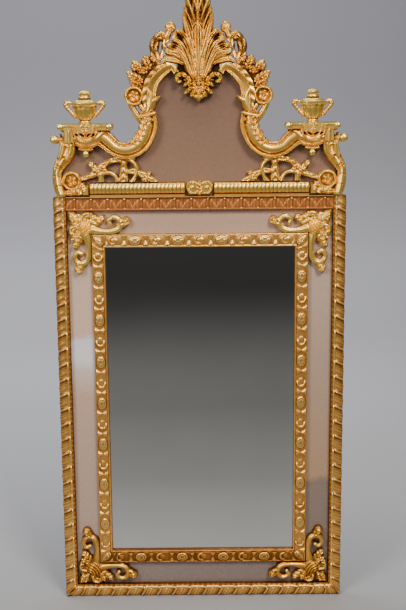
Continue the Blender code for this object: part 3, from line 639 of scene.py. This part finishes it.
def fan(mid_x, mid_z, radius, rise, rings):
    """A domed boss with rings round the point that faces the frame's corner."""
    def form(x, z):
        out = np.hypot(x - mid_x, z - mid_z) / radius
        turn = np.hypot(x - mid_x + 0.7 * radius, z - mid_z + 0.7 * radius) / radius
        return radius * (1 - out), raised(rise, dome(out) ** 0.7 * (0.84 + 0.16 * wave(rings * turn / 1.7)))
    return form, reach_of([(mid_x, mid_z)], radius + MARGIN)


def spiral(mid_x, mid_z, radius, rise):
    """A round bud with a raised coil and an eye."""
    turns = ((0.78, 3.6), (0.78, 2.0), (0.76, 0.5), (0.66, -1.0), (0.50, -2.4), (0.34, -4.0))
    coil = [(mid_x + out * radius * math.cos(turn), mid_z + out * radius * math.sin(turn), 0.20 * radius)
            for out, turn in turns]
    eye = bead(mid_x, mid_z, 0.3 * radius, rise)
    return [bead(mid_x, mid_z, radius, rise - 0.003), stroke(coil, rise), eye]


def leaves(tips, rise, width=8, fronds=2):
    """Leaves that each run from their root to their tip."""
    made = []
    for root_x, root_z, tip_x, tip_z in tips:
        middle = (0.45 * root_x + 0.55 * tip_x, 0.45 * root_z + 0.55 * tip_z)
        end = (0.12 * root_x + 0.88 * tip_x, 0.12 * root_z + 0.88 * tip_z)
        points = [(root_x, root_z, 0.75 * width), (*middle, width), (*end, 0.55 * width)]
        made.append(stroke(points, rise, acanthus(fronds), 2))
    return made


def mirrored(points, side):
    return [(side * x, z, width) for x, z, width in points]


def carved(forms, x, z):
    """The edge distance and the height of the highest form at each point."""
    edge = np.full(x.shape, -9.0)
    height = np.full(x.shape, WALL)
    for form, (low, high) in forms:
        near = (x > low[0]) & (x < high[0]) & (z > low[1]) & (z < high[1])
        if not near.any():
            continue
        inside, rise = form(x[near], z[near])
        edge[near] = np.maximum(edge[near], inside)
        height[near] = np.where(inside > -EDGE_REACH, np.maximum(height[near], rise), height[near])
    return edge, height


def relief(name, surface, field, place, flip=False, depth=0.020, tone=None):
    """Cuts a carving out of a fine grid along its outline, and adds walls and a flat back."""
    columns, rows = [np.arange(low, high + GRID_STEP, GRID_STEP) for low, high in field]
    grid_x, grid_z = np.meshgrid(columns, rows)
    edge, height = surface(grid_x, grid_z)
    # Points outside the outline count as low, so the carving darkens towards its rim as painted shade
    level = relief_level(np.where(edge > 0, height, WALL + 0.004), (5, 5), depth)
    if tone:
        level = unit(level + tone(grid_x, grid_z))
    index = np.arange(edge.size).reshape(edge.shape)
    corners = (index[:-1, :-1], index[:-1, 1:], index[1:, 1:], index[1:, :-1])
    sw, se, ne, nw = [corner.ravel() for corner in corners]
    triangles = np.concatenate([np.stack(three, axis=1) for three in ((sw, se, ne), (sw, ne, nw))])
    edge, height, level, x, z = [values.ravel() for values in (edge, height, level, grid_x, grid_z)]
    inside = edge[triangles] > 0
    count = inside.sum(axis=1)

    def turned(chosen, first):
        return np.take_along_axis(chosen, (first[:, None] + np.arange(3)) % 3, axis=1)

    tips = turned(triangles[count == 1], inside[count == 1].argmax(axis=1))
    cuts = turned(triangles[count == 2], inside[count == 2].argmin(axis=1))
    pairs = np.concatenate([tips[:, [0, 1]], tips[:, [0, 2]], cuts[:, [1, 0]], cuts[:, [2, 0]]])
    keys, number = np.unique(pairs[:, 0] * edge.size + pairs[:, 1], return_inverse=True)
    inner, outer = keys // edge.size, keys % edge.size
    share = np.clip(edge[inner] / (edge[inner] - edge[outer]), 0.08, 0.92)
    cut_x = x[inner] + share * (x[outer] - x[inner])
    cut_z = z[inner] + share * (z[outer] - z[inner])
    number = number.ravel() + edge.size
    parts = np.cumsum([len(tips), len(tips), len(cuts)])
    tip_after, tip_before, cut_after, cut_before = np.split(number, parts)
    faces = np.concatenate([
        triangles[count == 3],
        np.stack([tips[:, 0], tip_after, tip_before], axis=1),
        np.stack([cuts[:, 1], cuts[:, 2], cut_before], axis=1),
        np.stack([cuts[:, 1], cut_before, cut_after], axis=1)])
    x, z = np.concatenate([x, cut_x]), np.concatenate([z, cut_z])
    height = np.concatenate([height, surface(cut_x, cut_z)[1]])
    # The cut rim is painted darker still, as shade where the carving meets the glass
    level = np.concatenate([level, RIM_SHARE * level[inner]])
    used, faces = np.unique(largest_patch(faces, len(x)), return_inverse=True)
    faces = faces.reshape(-1, 3)
    world_x, world_z = place(x[used], z[used])
    total = len(used)
    front = np.column_stack([world_x, -GLASS_BED - height[used], world_z])
    back = front.copy()
    back[:, 1] = -GLASS_BED
    sides = np.concatenate([faces[:, [0, 1]], faces[:, [1, 2]], faces[:, [2, 0]]])
    lone = ~np.isin(sides[:, 0] * total + sides[:, 1], sides[:, 1] * total + sides[:, 0])
    a, b = sides[lone].T
    walls = np.stack([b, a, a + total, b + total], axis=1)
    backs = faces[:, ::-1] + total
    if flip:
        faces, backs, walls = faces[:, ::-1], backs[:, ::-1], walls[:, ::-1]
    levels = np.concatenate([level[used], np.full(total, BACK_LEVEL)])
    everything = faces.tolist() + backs.tolist() + walls.tolist()
    return mesh_object(name, np.concatenate([front, back]), everything, levels, GOLD, CARVED_ANGLE)


def largest_patch(faces, count):
    """Keeps the faces of the largest connected patch."""
    label = np.arange(count)
    while True:
        lowest = label[faces].min(axis=1)
        merged = label.copy()
        for corner in range(3):
            np.minimum.at(merged, faces[:, corner], lowest)
        merged = merged[merged]
        if np.array_equal(merged, label):
            break
        label = merged
    patch = label[faces[:, 0]]
    return faces[patch == np.bincount(patch).argmax()]


# The crest, drawn for its right half: x from the centre line, z from the frame's top edge

ARM = [(284, 172, 24), (262, 158, 25), (236, 136, 22), (207, 129, 24), (181, 136, 24), (162, 151, 25),
       (149, 173, 26), (142, 198, 27), (143, 222, 25)]
ARCH = [(144, 226, 16), (141, 246, 13), (138, 266, 20), (138, 284, 20), (136, 300, 20), (128, 322, 20),
        (112, 341, 19), (92, 356, 17), (74, 360, 13), (65, 350, 9), (60, 336, 8)]
HERM = [(370, 143, 23), (376, 120, 22), (392, 94, 18), (403, 70, 14), (402, 44, 16), (397, 18, 16),
        (393, 8, 15)]
URN_X = 320
PLINTH_START = 242
PLINTH_TOP = 206
SIDE_FIELD = ((48, 432), (0, 500))
SHELL_FIELD = ((-100, 100), (252, 572))
CLASP_FIELD = ((-48, 48), (0, 52))
CORNER_FIELD = ((0, 192), (0, 192))


def plinth_forms():
    """The plinth under the urn: bellied block, cornice, and a shield with a double moulding."""
    rise = CORNICE_RISE

    def bow(half_width, drop, thick):
        return [(URN_X + half_width * np.sin(turn), PLINTH_TOP - 2 - drop * np.cos(turn), thick)
                for turn in np.linspace(-1.5, 1.5, 9)]

    return [
        stroke([(272, 180, 14), (290, 166, 22), (318, 161, 26), (346, 166, 22)], PLINTH_RISE, moulded),
        block((348, 382), (149, 192), PLINTH_RISE, 5),
        stroke([(365, 152, 9), (365, 168, 11), (365, 184, 9)], 1.10 * PLINTH_RISE),
        block((284, 356), (176, PLINTH_TOP), PLINTH_RISE),
        block((251, 292), (183, 205), 0.92 * rise, 4),
        block((243, 292), (193, 206), rise, 5),
        block((350, 389), (183, 205), 0.92 * rise, 4),
        block((350, 398), (193, 206), rise, 5),
        bead(251, 196, 9, rise + 0.002),
        bead(389, 196, 9, rise + 0.002),
        stroke(bow(37, 49, 4.5), rise),
        stroke(bow(27, 38, 3.5), 0.96 * rise),
        stroke([(URN_X, 203, 20), (URN_X, 190, 19), (URN_X, 172, 8)], 0.98 * rise, acanthus(2), 3),
        rosette(URN_X, 192, 9, rise, 4),
        stroke([(URN_X - 18, 135, 5), (URN_X, 133, 7), (URN_X + 18, 135, 5)], TENDRIL_RISE + 0.003),
        bead(URN_X, 121, 9, TENDRIL_RISE + 0.005),
        stroke([(378, 161, 10), (392, 161, 9)], FOLIAGE_RISE, ribbed(3)),
        stroke([(391, 149, 5), (393, 173, 5)], FOLIAGE_RISE + 0.002),
        bead(408, 161, 12, FOLIAGE_RISE + 0.004),
    ]


def arm_forms():
    """The scrolled arm: moulded body, leaves at its knee, calyx, hollow arch and flowered volute."""
    return [
        stroke(ARM, ARM_RISE, moulded),
        stroke([(186, 150, 14), (170, 160, 17), (160, 176, 17), (154, 200, 17), (152, 218, 16)],
               ARM_RISE + 0.003, acanthus(5), 5),
        *leaves([(176, 146, 196, 158), (166, 156, 180, 176), (150, 208, 132, 196), (146, 214, 126, 214)],
                ARM_RISE + 0.004, 8),
        stroke(ARCH, ARCH_RISE, coved),
        stroke([(124, 233, 6), (146, 227, 8), (168, 224, 7)], ARM_RISE + 0.004),
        stroke([(143, 238, 12), (136, 256, 17), (134, 278, 14), (140, 296, 6)], ARM_RISE + 0.001),
        stroke([(128, 266, 9), (117, 272, 7), (110, 278, 4)], ARM_RISE),
        stroke([(190, 256, 9), (182, 240, 9), (170, 222, 10), (160, 208, 8)], FOLIAGE_RISE, ribbed(2)),
        stroke([(162, 254, 9), (153, 240, 8)], FOLIAGE_RISE),
        stroke([(164, 172, 9), (176, 179, 6)], FOLIAGE_RISE, acanthus(1)),
        ring(181, 281, 28, ARCH_RISE),
    ]


def foliage_forms():
    """Flowers and leaves beside the arch, and the open leaf scroll above it."""
    rise = FOLIAGE_RISE
    return [
        stroke([(160, 304, 18), (157, 328, 20), (145, 348, 20), (126, 362, 18), (102, 374, 14)],
               0.70 * rise, acanthus(3), 3),
        *leaves([(160, 306, 192, 320), (160, 324, 201, 346), (152, 344, 184, 376), (136, 356, 150, 390)],
                rise, 15, 3),
        rosette(184, 332, 15, rise + 0.002, 5),
        rosette(175, 361, 16, rise + 0.003, 5),
        rosette(146, 379, 14, rise + 0.002, 5),
        rosette(162, 322, 12, rise + 0.003, 5),
        rosette(150, 350, 14, rise + 0.004, 5),
        rosette(124, 382, 12, rise + 0.002, 4),
        stroke([(112, 372, 16), (122, 396, 14), (122, 420, 14), (114, 438, 14), (99, 443, 13), (88, 438, 9)],
               rise, acanthus(3), 3),
        stroke([(100, 374, 15), (94, 396, 13), (91, 416, 12), (88, 438, 10)], rise, acanthus(2), 2),
        *leaves([(116, 406, 131, 424), (100, 440, 108, 458)], rise + 0.001, 9),
        stroke([(88, 440, 9), (80, 456, 10)], rise),
        *spiral(77, 467, 15, rise + 0.002),
        stroke([(76, 384, 7), (90, 372, 9), (104, 360, 8)], rise + 0.003, ribbed(2)),
    ]


def herm_forms():
    """The outer support with overlapping husks, its rosette and leafy foot."""
    return [
        stroke(HERM, ARCH_RISE, husked(5)),
        stroke([(360, 146, 12), (364, 126, 13), (376, 108, 9)], ARCH_RISE + 0.003, ribbed(2)),
        stroke([(382, 146, 11), (386, 126, 12), (393, 108, 7)], ARCH_RISE + 0.002, ribbed(2)),
        stroke([(398, 96, 13), (408, 80, 8)], ARCH_RISE + 0.002, acanthus(2)),
        ring(363, 46, 28, FOLIAGE_RISE),
        rosette(363, 46, 15, FOLIAGE_RISE + 0.003, 5),
        block((314, 334), (3, 35), 0.86 * FOLIAGE_RISE, 4),
        stroke([(398, 10, 9), (372, 13, 12), (346, 16, 14), (330, 20, 14)], FOLIAGE_RISE - 0.001,
               acanthus(4), 3),
        *leaves([(350, 14, 326, 42), (344, 8, 322, 26), (356, 10, 338, 40), (372, 8, 352, 22)],
                FOLIAGE_RISE + 0.001, 9),
    ]


def tendril_forms():
    """The leafy stem and open scrolls between the arm and the rail."""
    rise = TENDRIL_RISE
    return [
        stroke([(213, 114, 13), (214, 92, 12), (215, 68, 14), (216, 40, 15)], rise, acanthus(4), 3),
        stroke([(188, 108, 8), (213, 112, 12), (238, 108, 8)], rise + 0.002, ribbed(2)),
        stroke([(222, 103, 8), (250, 102, 8), (272, 88, 10), (290, 73, 12), (308, 60, 9), (338, 50, 6)],
               rise, acanthus(4)),
        *leaves([(276, 84, 262, 66), (290, 72, 276, 52), (290, 74, 315, 101)], rise + 0.002, 10),
        stroke([(278, 66, 7), (254, 68, 7), (239, 58, 7), (233, 40, 8)], rise),
        stroke([(279, 66, 10), (279, 50, 9), (279, 38, 11)], rise, ribbed(2)),
        stroke([(206, 108, 8), (187, 97, 7), (177, 78, 7), (182, 58, 7), (194, 38, 9)], rise),
        stroke([(208, 70, 9), (184, 71, 10), (160, 61, 11), (142, 50, 10), (122, 38, 8)], rise,
               acanthus(3), 3),
        *leaves([(164, 58, 148, 38), (160, 58, 136, 68)], rise, 8),
    ]


def shell_forms():
    """The fluted shell, the plume over it and the leafy drop below."""
    rise = SHELL_RISE
    forms = [
        stroke([(0, 332, 15), (0, 390, 21), (0, 436, 26), (0, 462, 26)], 0.98 * rise, ribbed(7)),
        stroke([(0, 450, 22), (0, 500, 26), (0, 532, 20), (0, 544, 12)], 0.92 * rise, ribbed(3)),
        stroke([(0, 330, 50), (0, 312, 42), (0, 292, 32), (0, 279, 22), (0, 270, 8)], 0.90 * ARCH_RISE,
               acanthus(5), 5),
        rosette(0, 296, 14, ARCH_RISE + 0.003, 5),
        *leaves([(0, 330, 0, 306), (0, 290, 0, 268)], ARCH_RISE + 0.005, 8),
        rosette(0, 508, 12, rise, 4),
        rosette(0, 486, 12, 0.97 * rise, 3),
        rosette(0, 468, 9, 0.97 * rise, 3),
    ]
    limbs = [
        ([(15, 332, 8), (24, 352, 12), (33, 376, 13), (45, 398, 14), (62, 411, 13), (79, 418, 9)], 0.80, 4),
        ([(12, 336, 10), (22, 372, 15), (34, 404, 16), (50, 428, 15), (66, 436, 10)], 0.86, 4),
        ([(32, 362, 7), (43, 384, 12), (62, 398, 14), (84, 402, 10)], 0.70, 3),
        ([(44, 370, 7), (62, 379, 11), (84, 382, 10), (98, 375, 6)], 0.62, 3),
        ([(9, 340, 12), (18, 390, 16), (28, 424, 18), (44, 448, 13), (54, 455, 7)], 0.92, 5),
        ([(8, 390, 13), (20, 430, 15), (28, 462, 14), (36, 488, 8), (40, 500, 4)], 0.94, 4),
        ([(8, 440, 13), (20, 480, 13), (32, 508, 8), (36, 520, 4)], 0.86, 3),
        ([(6, 474, 12), (18, 512, 11), (28, 536, 8), (31, 546, 4)], 0.88, 2),
        ([(3, 510, 10), (10, 538, 9), (15, 553, 5)], 0.92, 2),
    ]
    web = [(44, 342, 5), (48, 353, 8), (51, 366, 8), (52, 378, 8)]
    ear = [(22, 322, 7), (32, 332, 8), (46, 339, 8), (59, 334, 8), (60, 322, 7), (49, 319, 5)]
    frond = [(11, 468, 5), (6, 486, 7), (8, 504, 5)]
    drops = [(12, 328, 13, 304), (24, 326, 27, 304), (20, 304, 40, 284), (12, 296, 22, 276),
             (30, 316, 42, 306)]
    for side in (-1, 1):
        forms.append(stroke(mirrored(web, side), WALL + 0.001))
        for points, share, ribs in limbs:
            forms.append(stroke(mirrored(points, side), share * rise, ribbed(ribs)))
        for x, z, radius in ((80, 418, 9), (64, 446, 9)):
            forms.append(rosette(side * x, z, radius, 0.84 * rise, 3))
        forms.append(stroke(mirrored(frond, side), rise, acanthus(3), 3))
        forms.append(stroke(mirrored(ear, side), ARCH_RISE + 0.006, acanthus(5), 4))
        forms += leaves([(side * a, b, side * c, d) for a, b, c, d in drops], ARCH_RISE + 0.004, 7)
    return forms


# Hollows near the tips of the shell's lobes, and its other places of painted shade, as middle, level, width
# and height; the hollows are painted with shade too
HOLLOWS = ((48, 437, 10, 11), (67, 414, 9, 7))
SHADES = ((50, 356, 9, 15), (26, 386, 6, 18), (35, 414, 7, 16), (0, 490, 14, 20))


def around(x, z, middle, level, wide, tall):
    """1 at a point on either side of the centre line, fading away from it."""
    return bell((np.abs(x) - middle) / wide, (z - level) / tall)


def shell_surface(forms):
    """The shell's lobes curl over hollows near their tips."""
    def surface(x, z):
        edge, height = carved(forms, x, z)
        for hollow in HOLLOWS:
            height = height - 0.010 * around(x, z, *hollow)
        return edge, np.maximum(height, WALL)
    return surface


def shell_painted_light(x, z):
    """Painted highlight down the middle and on the leafy drop, painted shade beside the lobes and in the
    hollows, and brown up the plume.
    """
    tone = 0.10 * around(x, z, 0, 380, 16, 60) + 0.16 * around(x, z, 0, 300, 70, 30)
    for place, share in zip(HOLLOWS + SHADES, (0.26, 0.22, 0.60, 0.16, 0.20, 0.08)):
        tone = tone - share * around(x, z, *place)
    return tone - 0.02 - 0.22 * unit((z - 440) / 60)


def side_tone(x, z):
    """The foliage and the sprigs above it are darker than the arms and plinths."""
    return -0.12 * around(x, z, 155, 350, 50, 45) - 0.30 * around(x, z, 125, 425, 30, 40)


def clasp_forms():
    """The clasp on the middle of the crest rail: a leaf between two scrolls."""
    forms = [
        block((-32, 32), (4, 40), RAIL_RISE),
        stroke([(0, 8, 9), (0, 26, 13), (0, 41, 5)], RAIL_RISE + 0.006, acanthus(3), 2),
    ]
    for side in (-1, 1):
        scroll = [(12, 39, 5), (27, 39, 5), (34, 26, 5), (27, 11, 5), (12, 9, 5)]
        forms.append(stroke(mirrored(scroll, side), RAIL_RISE + 0.003, ribbed(3)))
        forms.append(bead(side * 21, 25, 5, RAIL_RISE + 0.003))
    return forms


def corner_forms():
    """A domed boss, leaves into the corner, and a scroll with a bud along each border glass."""
    rise = CORNER_RISE
    forms = [
        stroke([(50, 50, 18), (34, 34, 24), (18, 18, 17), (8, 8, 8)], 0.72 * rise, acanthus(4), 4),
        *leaves([(32, 32, 8, 8)], rise, 12, 3),
    ]
    limbs = [
        ([(50, 56, 16), (59, 82, 13), (62, 106, 9), (61, 130, 9), (53, 148, 9), (38, 154, 8), (24, 146, 8),
          (21, 132, 7), (30, 121, 7), (41, 126, 6)], 0.95, ribbed(2), 0),
        ([(44, 152, 10), (36, 162, 13), (30, 172, 9)], 0.95, acanthus(1), 0),
        ([(42, 60, 18), (31, 84, 17), (25, 104, 8)], 0.88, acanthus(3), 4),
        ([(30, 44, 13), (17, 56, 11), (12, 70, 8)], 0.85, acanthus(2), 3),
        ([(26, 46, 5), (12, 50, 5), (10, 64, 5), (19, 68, 4)], 1.0, plain, 0),
    ]
    for points, share, section, lobes in limbs:
        for drawn in (points, [(z, x, width) for x, z, width in points]):
            forms.append(stroke(drawn, share * rise, section, lobes))
    for a, b, tip_a, tip_b in ((30, 28, 9, 24), (36, 70, 12, 84), (32, 88, 16, 108)):
        forms += leaves([(a, b, tip_a, tip_b), (b, a, tip_b, tip_a)], 1.02 * rise, 10)
    forms.append(fan(53, 53, 24, 1.30 * rise, 5))
    for x, z in ((31, 170), (170, 31)):
        forms += spiral(x, z, 13, 1.02 * rise)
    return forms


def make_crest():
    """The carvings over the crest's glass: two sides, the shell and the clasp."""
    shell = shell_forms()
    forms = plinth_forms() + arm_forms() + foliage_forms() + herm_forms() + tendril_forms()
    clear = CLEARANCE / UNIT
    rail_top, rail_end = (RAIL_HIGH[2] - TOP) / UNIT, RAIL_HIGH[0] / UNIT

    def side_surface(x, z):
        edge, height = carved(forms, x, z)
        edge = np.minimum(edge, -carved(shell, x, z)[0] - clear)
        edge = np.minimum(edge, np.maximum(PLINTH_TOP - z, PLINTH_START - x))
        edge = np.minimum(edge, np.maximum(z - rail_top, x - rail_end) - clear)
        return np.minimum(edge, z - clear), height

    def place(x, z):
        return UNIT * x, TOP + UNIT * z

    for side, name in ((1, "right"), (-1, "left")):
        piece = relief("crest_carving_" + name, side_surface, SIDE_FIELD,
                       lambda x, z: place(side * x, z), flip=side < 0, tone=side_tone)
        stands_for(piece, "gilding", "crest_side_" + name)
    piece = relief("shell_carving", shell_surface(shell), SHELL_FIELD, place, depth=0.014, tone=shell_painted_light)
    stands_for(piece, "gilding", "shell_crown")
    clasp = clasp_forms()
    piece = relief("clasp_carving", lambda x, z: carved(clasp, x, z), CLASP_FIELD, place)
    stands_for(piece, "gilding", "rail_clasp")


def make_corner_mounts():
    """One drawing in four places, painted lighter at the top than at the bottom."""
    forms = corner_forms()
    border, clear = BORDER_WIDTH / UNIT, CLEARANCE / UNIT

    def surface(x, z):
        edge, height = carved(forms, x, z)
        across = np.minimum(x, z)
        return np.minimum(edge, np.minimum(across, border - across) - clear), height

    for side, side_name in ((-1, "left"), (1, "right")):
        edge_x = side * (HALF - OUTER_WIDTH)
        # The top mounts get painted light and the bottom ones painted shade
        for end, end_name, edge_z, shade in (
                (-1, "top", BORDER_TOP, 0.11), (1, "bottom", BORDER_BOTTOM, -0.12)):
            name = f"{end_name}_{side_name}"
            piece = relief("corner_carving_" + name, surface, CORNER_FIELD,
                           lambda x, z: (edge_x - side * UNIT * x, edge_z + end * UNIT * z),
                           flip=side * end > 0, tone=lambda x, z: shade)
            stands_for(piece, "gilding", "corner_mount_" + name)


# Urns

# Turned profile as (height, radius), and handle as (out, up, radius), in shares of the urn's height
URN_PROFILE = [
    (0.0, 0.17), (0.05, 0.19), (0.09, 0.15), (0.12, 0.19), (0.18, 0.25), (0.28, 0.32), (0.40, 0.36),
    (0.50, 0.37), (0.53, 0.42), (0.57, 0.45), (0.61, 0.45), (0.64, 0.35), (0.69, 0.30), (0.72, 0.17),
    (0.75, 0.19), (0.78, 0.19), (0.82, 0.15), (0.86, 0.18), (0.90, 0.19), (0.96, 0.12), (1.0, 0.005)]
HANDLE_PATH = [
    (0.40, 0.595, 0.055), (0.49, 0.62, 0.070), (0.555, 0.60, 0.078), (0.57, 0.53, 0.070), (0.52, 0.45, 0.062),
    (0.45, 0.37, 0.056), (0.38, 0.29, 0.056), (0.30, 0.21, 0.060), (0.24, 0.16, 0.045)]
FLUTED_FROM, FLUTED_TO = 0.13, 0.50
TURNED_ANGLE = 40
URN_RINGS, URN_SIDES, HANDLE_SIDES = 70, 96, 14


def make_urns():
    """Turned and fluted bodies, flattened towards the wall, with a scroll handle at each side."""
    up, out = np.array(URN_PROFILE).T
    turn = np.linspace(0, 2 * np.pi, URN_SIDES, endpoint=False)
    angle, level_z = np.meshgrid(turn, np.linspace(0, 1, URN_RINGS))
    fluted = (level_z > FLUTED_FROM) & (level_z < FLUTED_TO)
    reach = np.interp(level_z, up, out) * np.where(fluted, 0.94 + 0.06 * np.abs(np.cos(6 * angle)), 1.0)
    for side_name in ("right", "left"):
        low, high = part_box("urn_" + side_name)
        height = high[2] - low[2]
        depth_share = (high[1] - low[1]) / (2 * out.max() * height)
        middle = ((low[0] + high[0]) / 2, (low[1] + high[1]) / 2, low[2])
        # The flutes' hollows darken as painted shade through the gilding
        levels = unit(relief_level(reach * height, (3, 3), 0.07 * height) + 0.12)
        x = middle[0] + height * reach * np.cos(angle)
        y = middle[1] + height * reach * np.sin(angle) * depth_share
        grid = np.stack([x, y, middle[2] + height * level_z], axis=2)
        urn = tube_mesh("gilt_urn_" + side_name, grid, levels, GOLD, TURNED_ANGLE)
        stands_for(urn, "gilding", "urn_" + side_name)
        for hand, hand_name in ((-1, "inner"), (1, "outer")):
            handle = urn_handle(f"urn_handle_{side_name}_{hand_name}", middle, height, hand)
            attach(handle, "root")


def urn_handle(name, middle, height, hand):
    """A beaded ear, thick where it curls over, from the urn's rim down to its foot."""
    path = smooth_path(mirrored(HANDLE_PATH, hand)) * height
    ahead = np.gradient(path[:, :2], axis=0)
    ahead /= np.hypot(*ahead.T)[:, None]
    turn = np.linspace(0, 2 * np.pi, HANDLE_SIDES, endpoint=False) * hand
    beading = 1 + 0.05 * np.cos(np.linspace(0, 9 * 2 * np.pi, len(path)))[:, None]
    radius = path[:, 2, None] * beading
    x = path[:, 0, None] - ahead[:, 1, None] * np.cos(turn) * radius
    z = path[:, 1, None] + ahead[:, 0, None] * np.cos(turn) * radius
    y = np.sin(turn) * radius * 0.8 * hand
    # Painted light: the beads' swellings and one side of the handle lighter, the other side darker
    levels = unit(FLAT_LEVEL + 0.06 + 1.5 * (beading - 1) + 0.15 * np.cos(turn))
    grid = np.stack([middle[0] + x, middle[1] + y, middle[2] + z], axis=2)
    return tube_mesh(name, grid, levels, GOLD, TURNED_ANGLE)


# Plates and boards that keep the frame's own solids

def finish_node(name, finish):
    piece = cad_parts[name]
    piece.data.materials.clear()
    piece.data.materials.append(finish)


def finish_plates():
    """The border glass is tinted brown, its tone differing from plate to plate; painted reflections make it
    palest half way up the left side and darker low on the right.
    """
    finish_node("main_glass", mirror_plate())
    top_tones = [(0, (0.70, 0.46, 0.32)), (0.5, (0.66, 0.43, 0.31)), (1, (0.70, 0.46, 0.32))]
    bottom_tones = [(0, (0.32, 0.24, 0.205)), (1, (0.26, 0.195, 0.17))]
    # The left plate's pale bluish band and the right plate's darker lower part are painted reflections of the
    # room
    left_tint_and_painted_reflection = [
        (0, (0.48, 0.36, 0.29)), (0.50, (0.72, 0.49, 0.36)), (0.57, (0.84, 0.68, 0.58)),
        (0.61, (0.98, 0.92, 0.96)), (0.655, (0.96, 0.89, 0.92)), (0.675, (0.84, 0.60, 0.45)),
        (1, (0.80, 0.57, 0.42))]
    right_tint_and_painted_reflection = [
        (0, (0.25, 0.185, 0.155)), (0.26, (0.31, 0.225, 0.18)), (0.285, (0.54, 0.34, 0.20)),
        (0.6, (0.56, 0.40, 0.29)), (1, (0.73, 0.54, 0.42))]
    crest_tones = [(0, (0.355, 0.205, 0.130)), (1, (0.205, 0.115, 0.080))]
    for name, tones in (("top", top_tones), ("bottom", bottom_tones)):
        finish_node("border_glass_" + name, border_plate(name + "_plate", tones, -HALF, HALF, "X"))
    for name, tones in (("left", left_tint_and_painted_reflection), ("right", right_tint_and_painted_reflection)):
        plate = border_plate(name + "_plate", tones, BORDER_BOTTOM, BORDER_TOP, "Z")
        for half in ("upper", "lower"):
            finish_node(f"border_glass_{name}_{half}", plate)
    finish_node("crest_glass", border_plate("crest_plate", crest_tones, TOP, TOP + 0.36, "Z"))
    wood = back_wood()
    finish_node("frame_backboard", wood)
    finish_node("crest_backboard", wood)


# Floor, backdrop, lights and camera

FLOOR_FRONT, CURVE_START, CURVE_RADIUS = -14.0, 4.0, 2.0
FLOOR_HALF, WALL_TOP = 9.0, 6.0


def make_stage():
    """A floor that rises in one curve to a backdrop, its greys painted light and shade: dark before the
    mirror as shade for the mirror to reflect, pale behind it, brightest where it starts to curve and darker
    on the wall.
    """
    floor_z = BOTTOM - 0.002
    wall_y = CURVE_START + CURVE_RADIUS
    profile = [(FLOOR_FRONT, floor_z), (CURVE_START, floor_z)]
    for turn in np.linspace(0, math.pi / 2, 12):
        forward, up = math.sin(turn), 1 - math.cos(turn)
        profile.append((CURVE_START + CURVE_RADIUS * forward, floor_z + CURVE_RADIUS * up))
    profile.append((wall_y, WALL_TOP))
    points = [(x, y, z) for y, z in profile for x in (-FLOOR_HALF, FLOOR_HALF)]
    faces = [(2 * row, 2 * row + 1, 2 * row + 3, 2 * row + 2) for row in range(len(profile) - 1)]
    mesh = bpy.data.meshes.new("studio_floor")
    mesh.from_pydata(points, [], faces)
    mesh.shade_smooth()
    floor = add_object("studio_floor", mesh)
    made, tree, shader = new_material("studio_paper", Roughness=0.9)
    # Painted light: the grey falls off in front of the mirror as painted shade and peaks where the floor
    # starts to curve
    paint(tree, shader, "Base Color", along_axis(tree, "Y", FLOOR_FRONT, wall_y), [
        (0.28, 0.135), (0.46, 0.115), (0.594, 0.100), (0.648, 0.165), (0.68, 0.31),
        (0.72, (0.41, 0.415, 0.43)),
        (0.90, (0.53, 0.535, 0.57)), (0.955, (0.47, 0.475, 0.51)), (1, (0.30, 0.297, 0.322))])
    mesh.materials.append(made)


def area_light(name, location, target, size, power, color):
    lamp = bpy.data.lights.new(name, "AREA")
    lamp.shape = "RECTANGLE"
    lamp.size, lamp.size_y = size
    lamp.energy = power
    lamp.color = color
    holder = add_object(name, lamp)
    holder.location = location
    holder.rotation_mode = "QUATERNION"
    holder.rotation_quaternion = (Vector(target) - Vector(location)).to_track_quat("-Z", "Y")


def make_lights():
    area_light("key_light", (1.2, -2.9, 2.2), (0, 0, -0.2), (1.0, 1.0), 115, (1.0, 0.94, 0.86))
    area_light("fill_light", (-1.9, -2.7, 1.4), (0, 0, -0.3), (1.0, 1.6), 75, (0.98, 0.97, 0.97))
    area_light("top_light", (0.0, -0.9, 2.6), (0, 0, 0.0), (2.0, 0.6), 26, (1.0, 0.98, 0.95))
    area_light("backdrop_light", (-1.2, 1.2, 3.0), (-1.0, 6.0, -0.6), (5.0, 1.0), 240, (0.97, 0.98, 1.0))
    world = bpy.data.worlds.new("studio")
    world.use_nodes = True
    background = world.node_tree.nodes["Background"]
    background.inputs["Color"].default_value = (0.86, 0.82, 0.80, 1.0)
    background.inputs["Strength"].default_value = 0.22
    bpy.context.scene.world = world


def make_camera():
    """Eye-level view, a little above the frame and looking down at it."""
    camera = add_object("camera", bpy.data.cameras.new("camera"))
    camera.data.lens = 59.0
    camera.data.sensor_width = 36.0
    camera.location = (0.0115, -2.8926, 0.2169)
    camera.rotation_euler = (math.radians(79.824), math.radians(0.479), 0.0)
    bpy.context.scene.camera = camera


make_camera()
make_stage()
make_lights()
make_mouldings()
make_crest()
make_corner_mounts()
make_urns()
finish_plates()
